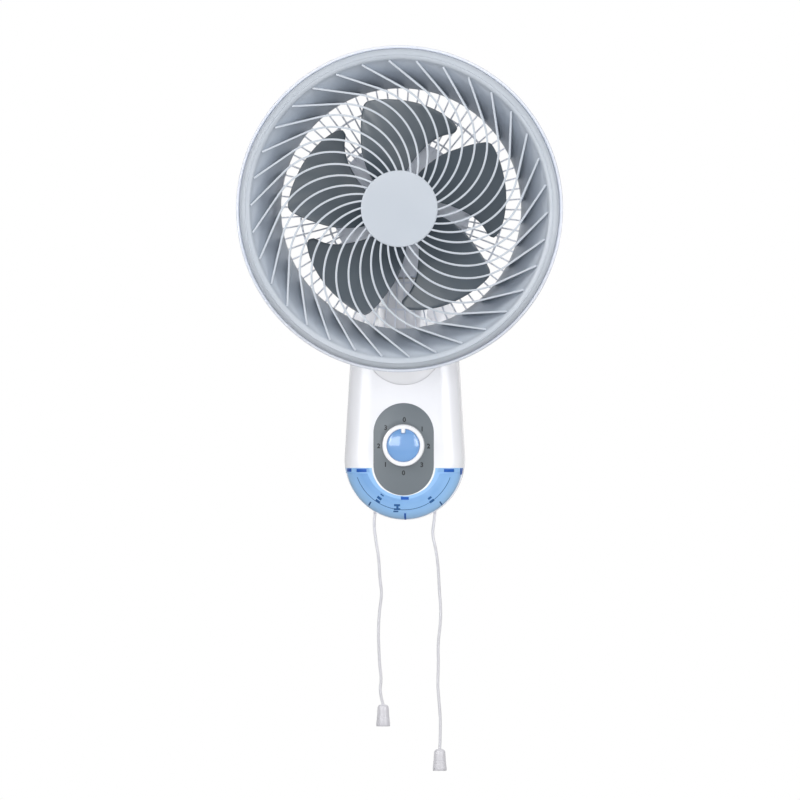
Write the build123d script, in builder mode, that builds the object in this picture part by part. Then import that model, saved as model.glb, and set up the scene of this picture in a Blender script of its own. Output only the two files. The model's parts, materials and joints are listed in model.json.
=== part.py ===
# Wall mounted fan: a round head with a spiral front guard on a ball-footed neck, a slim wall base with
# a rotary dial, and two pull cords. Millimetres, +Z up, the room on the -Y side. The origin is the middle
# of the four wall screws, on the wall. A distance called "out" is measured from the wall into the room.
import os
from math import cos, pi, radians, sin, tan

from build123d import *

os.makedirs("parts", exist_ok=True)

# ---------------------------------------------------------------- driving dimensions
fan_height = 200            # fan axis above the wall screws' middle
tilt_out, tilt_height = 48, 55
swing_out = 104             # upright swing axis, in front of the base

bottom_radius = 62.8        # round lower end of the base
bottom_height = -65
side_taper = 3.4            # degrees
base_top = 110
top_round = 28
back_gap = 0.5
split_out = 30
face_out = 66
edge_round = 24
wall = 2.4

panel_length, panel_width = 97.1, 63.5
panel_height = -53.2
panel_depth = 1.2
panel_proud = 0.3
surround = 1.8              # white border round the panel
cover_top = -72.9
lip_width = 3.6
lip_step = 0.8

ball_radius = 44
ball_wall = 4
ball_gap = 0.5
ball_back = 40
ball_flat = 78
column_radius = 26
column_top = 126
elbow_radius = 28

dial_height = -49.0
knob_radius = 22.3
cap_radius = 17.2
spindle_radius = 3
cord_x, cord_out = 31.5, 20
cord_radius = 1.5
eyelet_end = -122.0

rim_radius = 167.5
rim_out = 224
bead_radius = 156
throat_radius = 125.8
throat_out = 158
funnel_bulge = 4            # how far the funnel's section swells beyond a straight cone
ridge_radius = 161.5        # fine ridge on the rim, where its outer edge starts to slope back
rib_front, rib_depth = 221, 5
rib_count, rib_width = 34, 2.0
rib_arc_radius = 71.6
rib_arc_centre = (20.4, 68.0)
rib_arc_start, rib_arc_turn = -75.5, 94.3
vane_length = 49
disc_radius = 40.2

shell_radius = 171          # white rear guard
rear_out = 136
rear_ribs, rear_rib_width = 70, 1.6
rear_rings = (78, 106, 134)

blade_count, blade_radius = 5, 118
blade_angle = -62.1         # middle of the first blade, seen from the front
hub_radius = 26
shaft_radius = 4
running_gap = 0.05

gear_teeth, pinion_teeth, gear_module = 28, 12, 1.0
gear_low, gear_high = 144, 149

# ---------------------------------------------------------------- planes and axes
fan_axis = Axis((0, 0, fan_height), (0, -1, 0))
fan_section = Plane(origin=(0, 0, fan_height), x_dir=(1, 0, 0), z_dir=(0, 0, -1))  # radius, out
dial_axis = Axis((0, 0, dial_height), (0, -1, 0))
dial_section = Plane(origin=(0, 0, dial_height), x_dir=(1, 0, 0), z_dir=(0, 0, -1))


def front(out):
    return Plane.XZ.offset(out)


def fan_front(out):
    return Plane(origin=(0, -out, fan_height), x_dir=(1, 0, 0), z_dir=(0, -1, 0))


def level(height):
    return Plane.XY.offset(height)


def across(x):
    return Plane(origin=(x, 0, 0), x_dir=(0, -1, 0), z_dir=(-1, 0, 0))  # out, height, towards -X


# ---------------------------------------------------------------- shared shapes
def base_profile(out, inset=0.0):
    taper = radians(side_taper)
    foot_x = bottom_radius * cos(taper)
    foot_z = bottom_height + bottom_radius * sin(taper)
    head_x = foot_x - (base_top - foot_z) * tan(taper)
    with BuildSketch(front(out)) as profile:
        with BuildLine():
            Line((-head_x, base_top), (-foot_x, foot_z))
            ThreePointArc((-foot_x, foot_z), (0, bottom_height - bottom_radius), (foot_x, foot_z))
            Line((foot_x, foot_z), (head_x, base_top))
            Line((head_x, base_top), (-head_x, base_top))
        make_face()
        fillet(profile.vertices().group_by(Axis.Y)[-1], radius=top_round)
        if inset:
            offset(amount=-inset, mode=Mode.REPLACE)
    return profile.sketch


def base_block(inset):
    with BuildPart() as block:
        extrude(base_profile(face_out - inset, inset), amount=split_out - face_out + inset)
        fillet(block.faces().sort_by(Axis.Y)[0].edges(), radius=edge_round - inset)
    return block.part


def front_half():
    with BuildPart() as half:
        add(base_block(0))
        add(base_block(wall), mode=Mode.SUBTRACT)
    return half.part


def cover_area(top, grow):
    with BuildSketch(front(face_out + 1)) as area:
        with Locations((0, top - bottom_radius)):
            Rectangle(3 * bottom_radius, 2 * bottom_radius)
        with Locations((0, panel_height)):
            SlotOverall(panel_length + 2 * grow, panel_width + 2 * grow, rotation=90, mode=Mode.SUBTRACT)
    return area.sketch


def screw_group(plane, spots, length, shank, head, head_height):
    with BuildPart() as group:
        with BuildSketch(plane):
            with Locations(*spots):
                Circle(head)
        extrude(amount=head_height)
        with BuildSketch(plane):
            with Locations(*spots):
                Circle(shank)
        extrude(amount=-length)
    return group


def gear_outline(teeth, turn):
    pitch = teeth * gear_module / 2
    root, tip = pitch - 1.15 * gear_module, pitch + 0.8 * gear_module
    half_root, half_pitch, half_tip = 0.95, 0.64, 0.32
    with BuildSketch() as tooth:
        Polygon(
            (root - 0.5, -half_root),
            (pitch, -half_pitch),
            (tip, -half_tip),
            (tip, half_tip),
            (pitch, half_pitch),
            (root - 0.5, half_root),
            align=None,
        )
    with BuildSketch() as outline:
        Circle(root)
        with PolarLocations(0, teeth, start_angle=turn):
            add(tooth.sketch)
    return outline.sketch


# ================================================================ base
shell_screw_spots = ((-41, 87), (41, 87))
cover_screw_spots = ((-44, -92), (44, -92))
wall_hole_x, wall_hole_z = 30, 55
plate_screw_spots = ((-35, 20), (35, 20), (0, -58))
yoke_screw_spots = ((-19, 40), (19, 40), (-19, 70), (19, 70))
switch_screw_spots = ((0, dial_height - 23), (0, dial_height + 23))
boss_radius, screw_radius = 4.0, 1.5

slide_gap = 0.2
slider_width, slider_depth = 5.0, 3.0


def slider_channel(side):
    with BuildSketch(level(-60)) as channel:
        with Locations((side * cord_x, -cord_out)):
            Rectangle(slider_width + 2 * slide_gap, slider_depth + 2 * slide_gap)
    return channel.sketch


with BuildPart() as wall_plate:
    with BuildSketch(front(0)):
        RectangleRounded(84, 150, 12)
        with GridLocations(2 * wall_hole_x, 2 * wall_hole_z, 2, 2):
            Circle(2.6, mode=Mode.SUBTRACT)
        with Locations(*plate_screw_spots):
            Circle(screw_radius, mode=Mode.SUBTRACT)
        SlotOverall(64, 26, mode=Mode.SUBTRACT)
    extrude(amount=3)
wall_plate.part.label = "wall_plate"
export_step(wall_plate.part, "parts/wall_plate.step")

with BuildPart() as base_rear_shell:
    extrude(base_profile(split_out), amount=back_gap - split_out)
    extrude(base_profile(split_out, wall), amount=3 + wall - split_out, mode=Mode.SUBTRACT)
    extrude(base_profile(3, wall), amount=back_gap - 3, mode=Mode.SUBTRACT)
    with BuildSketch(front(3)):
        with Locations(*shell_screw_spots, *cover_screw_spots):
            Circle(boss_radius)
    extrude(amount=split_out - 3)
    with BuildSketch(front(3)):
        with Locations(*switch_screw_spots):
            Circle(boss_radius)
    extrude(amount=21)
    with BuildSketch(front(3)):
        with Locations(*shell_screw_spots, *cover_screw_spots, *switch_screw_spots):
            Circle(screw_radius)
        with Locations(*yoke_screw_spots, *plate_screw_spots):
            Circle(screw_radius)
        # room for the heads of the wall screws
        with GridLocations(2 * wall_hole_x, 2 * wall_hole_z, 2, 2):
            Circle(5.5)
    extrude(amount=split_out - 3, mode=Mode.SUBTRACT)
    # ways out for the two cords and the mains lead, through the underside
    with BuildSketch(level(-106)):
        with Locations((-cord_x, -cord_out), (cord_x, -cord_out)):
            Circle(3.2)
        with Locations((0, -16)):
            Circle(6)
    extrude(amount=-24, mode=Mode.SUBTRACT)
    # moulded guide of the speed slider
    with BuildSketch(front(3 + wall)):
        with Locations((cord_x + 1, -79)):
            Rectangle(12, 10)
    extrude(amount=20)
    extrude(slider_channel(1), amount=-40, mode=Mode.SUBTRACT)
base_rear_shell.part.label = "base_rear_shell"
export_step(base_rear_shell.part, "parts/base_rear_shell.step")

with BuildPart() as base_front_shell:
    add(front_half())
    extrude(cover_area(cover_top, surround), amount=split_out - face_out - 1, mode=Mode.SUBTRACT)
    with BuildSketch(front(split_out)):
        with Locations(*shell_screw_spots):
            Circle(boss_radius)
    extrude(amount=14)
    with BuildSketch(front(split_out)):
        with Locations(*shell_screw_spots):
            Circle(screw_radius)
    extrude(amount=11, mode=Mode.SUBTRACT)
    # walls that tie the two screw bosses to the sides
    for side in (-1, 1):
        with BuildSketch(front(split_out)):
            with Locations((side * 49.2, 87)):
                Rectangle(9, 2)
        extrude(amount=14)
    with Locations((0, -tilt_out, tilt_height)):
        Sphere(ball_radius + ball_gap, mode=Mode.SUBTRACT)
    with BuildSketch(front(face_out)):
        with Locations((0, panel_height)):
            SlotOverall(panel_length, panel_width, rotation=90)
    extrude(amount=-panel_depth, mode=Mode.SUBTRACT)
    with BuildSketch(front(face_out)):
        with Locations((0, dial_height)):
            Circle(spindle_radius + 1)
    extrude(amount=-5, mode=Mode.SUBTRACT)
base_front_shell.part.label = "base_front_shell"
export_step(base_front_shell.part, "parts/base_front_shell.step")

with BuildPart() as dial_panel:
    with BuildSketch(front(face_out - panel_depth)):
        with Locations((0, panel_height)):
            SlotOverall(panel_length, panel_width, rotation=90)
        with Locations((0, dial_height)):
            Circle(spindle_radius + 1, mode=Mode.SUBTRACT)
    extrude(amount=panel_depth + panel_proud)
dial_panel.part.label = "dial_panel"
export_step(dial_panel.part, "parts/dial_panel.step")


def cover_skin():
    # the outer 0.8 mm of the base's front half, inside the cover's raised lip
    with BuildPart() as skin:
        add(base_block(0))
        add(base_block(lip_step), mode=Mode.SUBTRACT)
        inside_lip = cover_area(cover_top - 5.8, surround + lip_width)
        extrude(inside_lip, amount=split_out + 4 - face_out - 1, mode=Mode.INTERSECT)
    return skin.part


with BuildPart() as lower_cover:
    add(front_half())
    extrude(cover_area(cover_top, surround), amount=split_out - face_out - 1, mode=Mode.INTERSECT)
    add(cover_skin(), mode=Mode.SUBTRACT)
    with BuildSketch(front(split_out)):
        with Locations(*cover_screw_spots):
            Circle(boss_radius)
    extrude(amount=15)
    for side in (-1, 1):
        with BuildSketch(front(split_out)):
            with Locations((side * 50.5, -95)):
                Rectangle(10, 2, rotation=side * -27)
        extrude(amount=12)
    with BuildSketch(front(split_out)):
        with Locations(*cover_screw_spots):
            Circle(screw_radius)
    extrude(amount=12, mode=Mode.SUBTRACT)
lower_cover.part.label = "lower_cover"
export_step(lower_cover.part, "parts/lower_cover.step")

with BuildPart() as shell_screws:
    with BuildSketch(front(1)):
        with Locations(*shell_screw_spots, *cover_screw_spots):
            Circle(3)
    extrude(amount=2)
    with BuildSketch(front(3)):
        with Locations(*shell_screw_spots, *cover_screw_spots):
            Circle(screw_radius)
    extrude(amount=36)
shell_screws.part.label = "shell_screws"
export_step(shell_screws.part, "parts/shell_screws.step")

plate_screws = screw_group(front(3 + wall), plate_screw_spots, 3 + wall, screw_radius, 3.2, 1.8)
plate_screws.part.label = "plate_screws"
export_step(plate_screws.part, "parts/plate_screws.step")

ear_in, ear_out = 12.0, 15.0
with BuildPart() as tilt_yoke:
    with BuildSketch(front(3 + wall)):
        with Locations((0, tilt_height)):
            RectangleRounded(50, 40, 4)
        with Locations(*yoke_screw_spots):
            Circle(screw_radius, mode=Mode.SUBTRACT)
    extrude(amount=3)
    for side in (-1, 1):
        with BuildSketch(across(side * (ear_in + ear_out) / 2)):
            with Locations(((tilt_out + 3 + wall) / 2, tilt_height)):
                Rectangle(tilt_out - 3 - wall, 20)
            with Locations((tilt_out, tilt_height)):
                Circle(10)
                Circle(4, mode=Mode.SUBTRACT)
        extrude(amount=(ear_out - ear_in) / 2, both=True)
tilt_yoke.part.label = "tilt_yoke"
export_step(tilt_yoke.part, "parts/tilt_yoke.step")

yoke_screws = screw_group(front(6 + wall), yoke_screw_spots, 3 + wall, screw_radius, 3, 1.8)
yoke_screws.part.label = "yoke_screws"
export_step(yoke_screws.part, "parts/yoke_screws.step")

with BuildPart() as tilt_axle:
    with BuildSketch(across(ear_out)):
        with Locations((tilt_out, tilt_height)):
            RegularPolygon(7.5, 6)
    extrude(amount=-4.5)
    with BuildSketch(across(ear_out)):
        with Locations((tilt_out, tilt_height)):
            Circle(4)
    extrude(amount=ear_out + 24)
tilt_axle.part.label = "tilt_axle"
export_step(tilt_axle.part, "parts/tilt_axle.step")

with BuildPart() as tilt_spring_washer:
    with BuildSketch(across(-ear_out)):
        with Locations((tilt_out, tilt_height)):
            Circle(8)
            Circle(4, mode=Mode.SUBTRACT)
    extrude(amount=1.6)
tilt_spring_washer.part.label = "tilt_spring_washer"
export_step(tilt_spring_washer.part, "parts/tilt_spring_washer.step")

with BuildPart() as tilt_nut:
    with BuildSketch(across(-ear_out - 1.6)):
        with Locations((tilt_out, tilt_height)):
            RegularPolygon(7.5, 6)
            Circle(4, mode=Mode.SUBTRACT)
    extrude(amount=6)
tilt_nut.part.label = "tilt_nut"
export_step(tilt_nut.part, "parts/tilt_nut.step")

with BuildPart() as speed_switch_body:
    with BuildSketch(front(24)):
        with Locations((0, dial_height)):
            RectangleRounded(10, 56, 4)
        with Locations(*switch_screw_spots):
            Circle(screw_radius, mode=Mode.SUBTRACT)
    extrude(amount=2)
    with BuildSketch(front(24)):
        with Locations((0, dial_height)):
            RectangleRounded(34, 36, 3)
    extrude(amount=22)
    with BuildSketch(front(24)):
        with Locations((0, dial_height)):
            Circle(spindle_radius + running_gap)
    extrude(amount=22, mode=Mode.SUBTRACT)
speed_switch_body.part.label = "speed_switch_body"
export_step(speed_switch_body.part, "parts/speed_switch_body.step")

switch_screws = screw_group(front(26), switch_screw_spots, 12, screw_radius, 2.8, 1.8)
switch_screws.part.label = "switch_screws"
export_step(switch_screws.part, "parts/switch_screws.step")

with BuildPart() as swing_switch_body:
    with BuildSketch(front(3 + wall)):
        with Locations((-cord_x, -73)):
            RectangleRounded(20, 26, 2)
    extrude(amount=24)
    extrude(slider_channel(-1), amount=-40, mode=Mode.SUBTRACT)
swing_switch_body.part.label = "swing_switch_body"
export_step(swing_switch_body.part, "parts/swing_switch_body.step")

with BuildPart() as underside_prism:
    extrude(base_profile(split_out), amount=-split_out)

with BuildPart() as cord_eyelets:
    with BuildSketch(level(-113)):
        with Locations((-cord_x, -cord_out), (cord_x, -cord_out)):
            Circle(3.2)
    extrude(amount=-12)
    add(underside_prism.part, mode=Mode.INTERSECT)
    with BuildSketch(level(-112.5)):
        with Locations((-cord_x, -cord_out), (cord_x, -cord_out)):
            Circle(4.0)
    extrude(amount=-1.1)
    with BuildSketch(level(-112.5)):
        with Locations((-cord_x, -cord_out), (cord_x, -cord_out)):
            Circle(cord_radius + 0.55)
    extrude(amount=-12, mode=Mode.SUBTRACT)
cord_eyelets.part.label = "cord_eyelets"
export_step(cord_eyelets.part, "parts/cord_eyelets.step")

with BuildPart() as mains_grommet:
    with BuildSketch(level(-123)):
        with Locations((0, -16)):
            Circle(6)
    extrude(amount=-8)
    add(underside_prism.part, mode=Mode.INTERSECT)
    with BuildSketch(level(-124.7)):
        with Locations((0, -16)):
            Circle(8)
    extrude(amount=1.7)
    with BuildSketch(level(-122)):
        with Locations((0, -16)):
            Circle(3.3)
    extrude(amount=-8, mode=Mode.SUBTRACT)
mains_grommet.part.label = "mains_grommet"
export_step(mains_grommet.part, "parts/mains_grommet.step")

with BuildPart() as terminal_block:
    with BuildSketch(front(3 + wall)):
        with Locations((0, -92)):
            Rectangle(26, 12)
    extrude(amount=12)
    with BuildSketch(front(3 + wall + 12)):
        with Locations((0, -92)):
            with GridLocations(8, 0, 3, 1):
                Circle(2.2)
    extrude(amount=-5, mode=Mode.SUBTRACT)
terminal_block.part.label = "terminal_block"
export_step(terminal_block.part, "parts/terminal_block.step")

with BuildPart() as run_capacitor:
    with BuildSketch(front(3 + wall)):
        with Locations((0, -8)):
            RectangleRounded(38, 24, 3)
    extrude(amount=16)
run_capacitor.part.label = "run_capacitor"
export_step(run_capacitor.part, "parts/run_capacitor.step")

# ================================================================ knob
with BuildPart() as knob_ring:
    with BuildSketch(dial_section):
        with BuildLine():
            Polyline((spindle_radius, 68), (knob_radius - 0.2, 66.8), (knob_radius, 68.5))
            Line((knob_radius, 68.5), (knob_radius - 0.9, 80))
            RadiusArc((knob_radius - 0.9, 80), (knob_radius - 3.6, 82.6), -2.8)
            Polyline((knob_radius - 3.6, 82.6), (cap_radius, 81.4), (cap_radius, 78))
            Polyline((cap_radius, 78), (spindle_radius, 78), (spindle_radius, 68))
        make_face()
    revolve(axis=dial_axis)
    with BuildSketch(front(78)):
        with Locations((0, dial_height + cap_radius - 2.4)):
            Rectangle(4.6, 5)
    extrude(amount=4.4)
knob_ring.part.label = "knob_ring"
export_step(knob_ring.part, "parts/knob_ring.step")

with BuildPart() as knob_cap:
    with BuildSketch(dial_section):
        with BuildLine():
            Polyline((0, 85.4), (0, 78), (cap_radius, 78), (cap_radius, 81))
            ThreePointArc((cap_radius, 81), (cap_radius * 0.52, 84.3), (0, 85.4))
        make_face()
    revolve(axis=dial_axis)
    with BuildSketch(front(78)):
        with Locations((0, dial_height + cap_radius - 2.4)):
            Rectangle(4.6, 5)
    extrude(amount=10, mode=Mode.SUBTRACT)
knob_cap.part.label = "knob_cap"
export_step(knob_cap.part, "parts/knob_cap.step")

with BuildPart() as knob_spindle:
    with BuildSketch(front(14)):
        with Locations((0, dial_height)):
            Circle(spindle_radius)
    extrude(amount=64)
knob_spindle.part.label = "knob_spindle"
export_step(knob_spindle.part, "parts/knob_spindle.step")

ratchet_radius, ratchet_teeth = 13.5, 8
with BuildSketch() as ratchet_tooth:
    Polygon((6, 0), (ratchet_radius, 0), (7.3, 7.0), align=None)
with BuildPart() as ratchet_wheel:
    with BuildSketch(Plane(origin=(0, -18.2, dial_height), x_dir=(1, 0, 0), z_dir=(0, -1, 0))):
        Circle(ratchet_radius - 3)
        with PolarLocations(0, ratchet_teeth):
            add(ratchet_tooth.sketch)
        Circle(spindle_radius, mode=Mode.SUBTRACT)
    extrude(amount=3.6)
ratchet_wheel.part.label = "ratchet_wheel"
export_step(ratchet_wheel.part, "parts/ratchet_wheel.step")

# ================================================================ pull cords
slider_foot = -92.0
slider_head = {1: -44.0, -1: -62.0}


def slider(side):
    # a flat bar that hangs in its guide, with a round seat for the spring at its foot
    with BuildPart() as bar:
        with BuildSketch(level(slider_foot)):
            with Locations((side * cord_x, -cord_out)):
                Rectangle(slider_width, slider_depth)
        extrude(amount=slider_head[side] - slider_foot)
        with BuildSketch(level(slider_foot)):
            with Locations((side * cord_x, -cord_out)):
                Circle(4)
        extrude(amount=2)
        if side > 0:
            # the pawl's arm, which reaches over to the ratchet wheel
            with BuildSketch(front(cord_out - slider_depth / 2)):
                with BuildLine():
                    Polyline(
                        (cord_x, slider_head[side]),
                        (15.2, slider_head[side] - 1),
                        (14.6, slider_head[side] - 5),
                        (17, slider_head[side] - 4.5),
                        (cord_x, slider_head[side] - 6),
                        close=True,
                    )
                make_face()
            extrude(amount=slider_depth)
    return bar


def spring_tube(side):
    with BuildPart() as tube:
        with BuildSketch(level(-112.5)):
            with Locations((side * cord_x, -cord_out)):
                Circle(3.6)
                Circle(2.6, mode=Mode.SUBTRACT)
        extrude(amount=slider_foot + 112.5)
    return tube


def inner_cord(side):
    with BuildPart() as cord:
        with BuildSketch(level(slider_foot)):
            with Locations((side * cord_x, -cord_out)):
                Circle(cord_radius)
        extrude(amount=eyelet_end - slider_foot)
    return cord


def arc_radii(route):
    radii = []
    for before, corner, after in zip(route, route[1:], route[2:]):
        into, away = Vector(corner) - Vector(before), Vector(after) - Vector(corner)
        turn = radians(into.get_angle(away))
        radii.append(0.45 * min(into.length, away.length) / tan(turn / 2))
    return radii


def hanging_cord(route, name):
    radii = arc_radii(route)
    with BuildPart() as cord:
        with BuildLine() as line:
            FilletPolyline(*route, radius=radii)
        path = line.wire()
        with BuildSketch(Plane(origin=route[0], z_dir=path % 0)):
            Circle(cord_radius)
        sweep(path=path)
    length = path.length
    section = pi * cord_radius**2
    print(name, "length", round(length, 1), "volume share", round(cord.part.volume / (section * length), 4))
    print(name, "radii", [round(radius) for radius in radii])
    return cord


def bell(route):
    x, y, z = route[-1]
    with BuildPart() as body:
        with BuildSketch(Plane(origin=(x, y, z), x_dir=(1, 0, 0), z_dir=(0, -1, 0))):
            with BuildLine():
                Polyline((0, 0), (2.2, 0))
                ThreePointArc((2.2, 0), (4.7, -1.5), (5.9, -4.8))
                ThreePointArc((5.9, -4.8), (6.5, -12), (7.3, -20.2))
                Polyline((7.3, -20.2), (7.3, -22.4), (6.5, -23), (0, -23), (0, 0))
            make_face()
        revolve(axis=Axis((x, y, z), (0, 0, 1)))
    return body


speed_route = [
    (31.5, -20.0, -122.0),
    (30.6, -20.1, -130.5),
    (28.7, -20.7, -143.0),
    (32.7, -19.6, -159.0),
    (35.3, -20.4, -180.0),
    (36.0, -19.5, -200.0),
    (37.9, -20.3, -222.0),
    (37.3, -21.0, -238.0),
    (34.7, -20.2, -258.0),
    (35.3, -19.4, -281.0),
    (34.3, -20.3, -301.0),
    (36.1, -20.9, -320.0),
    (37.8, -20.1, -344.0),
    (36.6, -20.0, -368.7),
]
swing_route = [
    (-31.5, -20.0, -122.0),
    (-33.0, -20.2, -131.0),
    (-30.7, -20.8, -149.0),
    (-27.4, -19.7, -168.4),
    (-26.5, -20.5, -189.0),
    (-24.1, -19.8, -205.5),
    (-26.5, -20.3, -221.0),
    (-28.1, -20.8, -242.5),
    (-27.3, -19.6, -265.8),
    (-26.5, -20.2, -281.3),
    (-24.6, -20.7, -296.0),
    (-26.8, -20.1, -309.0),
    (-22.9, -20.0, -322.0),
]

speed_slider = slider(1)
speed_slider.part.label = "speed_slider"
export_step(speed_slider.part, "parts/speed_slider.step")
speed_spring = spring_tube(1)
speed_spring.part.label = "speed_spring"
export_step(speed_spring.part, "parts/speed_spring.step")
speed_cord_inner = inner_cord(1)
speed_cord_inner.part.label = "speed_cord_inner"
export_step(speed_cord_inner.part, "parts/speed_cord_inner.step")
speed_cord = hanging_cord(speed_route, "speed_cord")
speed_cord.part.label = "speed_cord"
export_step(speed_cord.part, "parts/speed_cord.step")
speed_bell = bell(speed_route)
speed_bell.part.label = "speed_bell"
export_step(speed_bell.part, "parts/speed_bell.step")

swing_slider = slider(-1)
swing_slider.part.label = "swing_slider"
export_step(swing_slider.part, "parts/swing_slider.step")
swing_spring = spring_tube(-1)
swing_spring.part.label = "swing_spring"
export_step(swing_spring.part, "parts/swing_spring.step")
swing_cord_inner = inner_cord(-1)
swing_cord_inner.part.label = "swing_cord_inner"
export_step(swing_cord_inner.part, "parts/swing_cord_inner.step")
swing_cord = hanging_cord(swing_route, "swing_cord")
swing_cord.part.label = "swing_cord"
export_step(swing_cord.part, "parts/swing_cord.step")
swing_bell = bell(swing_route)
swing_bell.part.label = "swing_bell"
export_step(swing_bell.part, "parts/swing_bell.step")

# ================================================================ neck
hub_screw_spots = ((-20, 55), (20, 55), (0, 35), (0, 75))

with BuildPart() as ball_cavity:
    with Locations((0, -tilt_out, tilt_height)):
        Sphere(ball_radius - ball_wall)
    split(bisect_by=front(ball_flat), keep=Keep.BOTTOM)

with BuildPart() as neck_housing:
    with Locations((0, -tilt_out, tilt_height)):
        Sphere(ball_radius)
    elbow_height = tilt_height + 2 + elbow_radius
    with BuildLine() as neck_line:
        Line((0, -swing_out, column_top), (0, -swing_out, elbow_height))
        ThreePointArc(
            (0, -swing_out, elbow_height),
            (0, -swing_out + elbow_radius * (1 - cos(pi / 4)), elbow_height - elbow_radius * sin(pi / 4)),
            (0, -swing_out + elbow_radius, elbow_height - elbow_radius),
        )
        Line(
            (0, -swing_out + elbow_radius, elbow_height - elbow_radius),
            (0, -tilt_out - 12, elbow_height - elbow_radius),
        )
    with BuildSketch(level(column_top)):
        with Locations((0, -swing_out)):
            Circle(column_radius)
    sweep(path=neck_line.wire())
    add(ball_cavity.part, mode=Mode.SUBTRACT)
    split(bisect_by=front(ball_back), keep=Keep.TOP)
    with BuildSketch(level(column_top)):
        with Locations((0, -swing_out)):
            Circle(6)
    extrude(amount=-30, mode=Mode.SUBTRACT)
    with BuildSketch(front(ball_flat)):
        with Locations(*hub_screw_spots):
            Circle(screw_radius)
    extrude(amount=10, mode=Mode.SUBTRACT)
neck_housing.part.label = "neck_housing"
export_step(neck_housing.part, "parts/neck_housing.step")

with BuildPart() as tilt_hub:
    with BuildSketch(across(0)):
        with Locations((tilt_out, tilt_height)):
            Circle(12)
        with Locations(((tilt_out + ball_flat) / 2, tilt_height)):
            Rectangle(ball_flat - tilt_out, 24)
    extrude(amount=ear_in - 0.3, both=True)
    with BuildSketch(front(ball_flat)):
        with Locations((0, tilt_height)):
            Circle(25.5)
        with Locations(*hub_screw_spots):
            Circle(screw_radius, mode=Mode.SUBTRACT)
    extrude(amount=-4)
    with BuildSketch(across(0)):
        with Locations((tilt_out, tilt_height)):
            Circle(4 + running_gap)
    extrude(amount=ear_out, both=True, mode=Mode.SUBTRACT)
tilt_hub.part.label = "tilt_hub"
export_step(tilt_hub.part, "parts/tilt_hub.step")

with BuildPart() as hub_screws:
    with BuildSketch(front(ball_flat - 4)):
        with Locations(*hub_screw_spots):
            Circle(2.8)
    extrude(amount=-2)
    with BuildSketch(front(ball_flat - 4)):
        with Locations(*hub_screw_spots):
            Circle(screw_radius)
    extrude(amount=13)
hub_screws.part.label = "hub_screws"
export_step(hub_screws.part, "parts/hub_screws.step")

collar_low = 127.5
post_radius, bush_radius = 6, 9
with BuildPart() as swing_post:
    with BuildSketch(level(column_top - 30)):
        with Locations((0, -swing_out)):
            Circle(post_radius)
    extrude(amount=gear_high + 0.5 - column_top + 30)
swing_post.part.label = "swing_post"
export_step(swing_post.part, "parts/swing_post.step")

with BuildPart() as thrust_washer:
    with BuildSketch(level(column_top)):
        with Locations((0, -swing_out)):
            Circle(20)
            Circle(post_radius, mode=Mode.SUBTRACT)
    extrude(amount=collar_low - 0.1 - column_top)
thrust_washer.part.label = "thrust_washer"
export_step(thrust_washer.part, "parts/thrust_washer.step")

gear_plane = Plane(origin=(0, -swing_out, gear_low))
pinion_x = (gear_teeth + pinion_teeth) * gear_module / 2
pinion_plane = Plane(origin=(pinion_x, -swing_out, gear_low))
with BuildPart() as swing_gear:
    with BuildSketch(gear_plane):
        add(gear_outline(gear_teeth, 0))
        Circle(post_radius, mode=Mode.SUBTRACT)
    extrude(amount=gear_high - gear_low)
swing_gear.part.label = "swing_gear"
export_step(swing_gear.part, "parts/swing_gear.step")

# ================================================================ head
pinion_shaft = 1.5
with BuildPart() as swing_pinion:
    with BuildSketch(pinion_plane):
        add(gear_outline(pinion_teeth, 180 / pinion_teeth))
    extrude(amount=gear_high - gear_low)
    with BuildSketch(pinion_plane):
        Circle(pinion_shaft)
    extrude(amount=14)
swing_pinion.part.label = "swing_pinion"
export_step(swing_pinion.part, "parts/swing_pinion.step")

motor_low = 150.2
with BuildPart() as swing_motor:
    with BuildSketch(level(motor_low)):
        with Locations((pinion_x, -swing_out)):
            SlotOverall(44, 8, rotation=90)
    extrude(amount=1.5)
    with BuildSketch(level(motor_low)):
        with Locations((pinion_x, -swing_out)):
            Circle(14.5)
    extrude(amount=11.5)
    with BuildSketch(level(motor_low)):
        with Locations((pinion_x, -swing_out)):
            Circle(pinion_shaft + running_gap)
    extrude(amount=9, mode=Mode.SUBTRACT)
swing_motor.part.label = "swing_motor"
export_step(swing_motor.part, "parts/swing_motor.step")

cover_radius, cover_wall = 70, 2.5
cover_screw_angles = (90, 210, 330)
shield_back = 133
with BuildPart() as motor_cover:
    with BuildSketch(fan_section):
        with BuildLine():
            Polyline((0, 66), (0, rear_out), (cover_radius, rear_out), (cover_radius - 1, 112))
            ThreePointArc((cover_radius - 1, 112), (cover_radius - 12, 81), (30, 67.5))
            Line((30, 67.5), (0, 66))
        make_face()
    revolve(axis=fan_axis)
    offset(amount=-cover_wall, openings=motor_cover.faces().sort_by(Axis.Y)[0])
    # collar that turns on the neck, with the seat of its bush
    with BuildSketch(level(collar_low)):
        with Locations((0, -swing_out)):
            Circle(27)
    extrude(amount=15.5)
    with BuildSketch(level(collar_low)):
        with Locations((0, -swing_out)):
            Circle(bush_radius)
    extrude(amount=15.5, mode=Mode.SUBTRACT)
    with BuildSketch(level(134.5)):
        with Locations((pinion_x, -swing_out - 18), (pinion_x, -swing_out + 18)):
            Circle(3)
    extrude(amount=motor_low - 134.5)
    for angle in cover_screw_angles:
        with BuildSketch(fan_front(shield_back)):
            with PolarLocations(61.5, 1, start_angle=angle):
                Circle(5.5)
        extrude(amount=-16)
        with BuildSketch(fan_front(shield_back)):
            with PolarLocations(60, 1, start_angle=angle):
                Circle(screw_radius)
        extrude(amount=-12, mode=Mode.SUBTRACT)
    # cooling slots in the back
    with BuildSketch(fan_front(60)):
        with PolarLocations(38, 16, start_angle=11.25):
            SlotOverall(22, 3)
    extrude(amount=24, mode=Mode.SUBTRACT)
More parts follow.
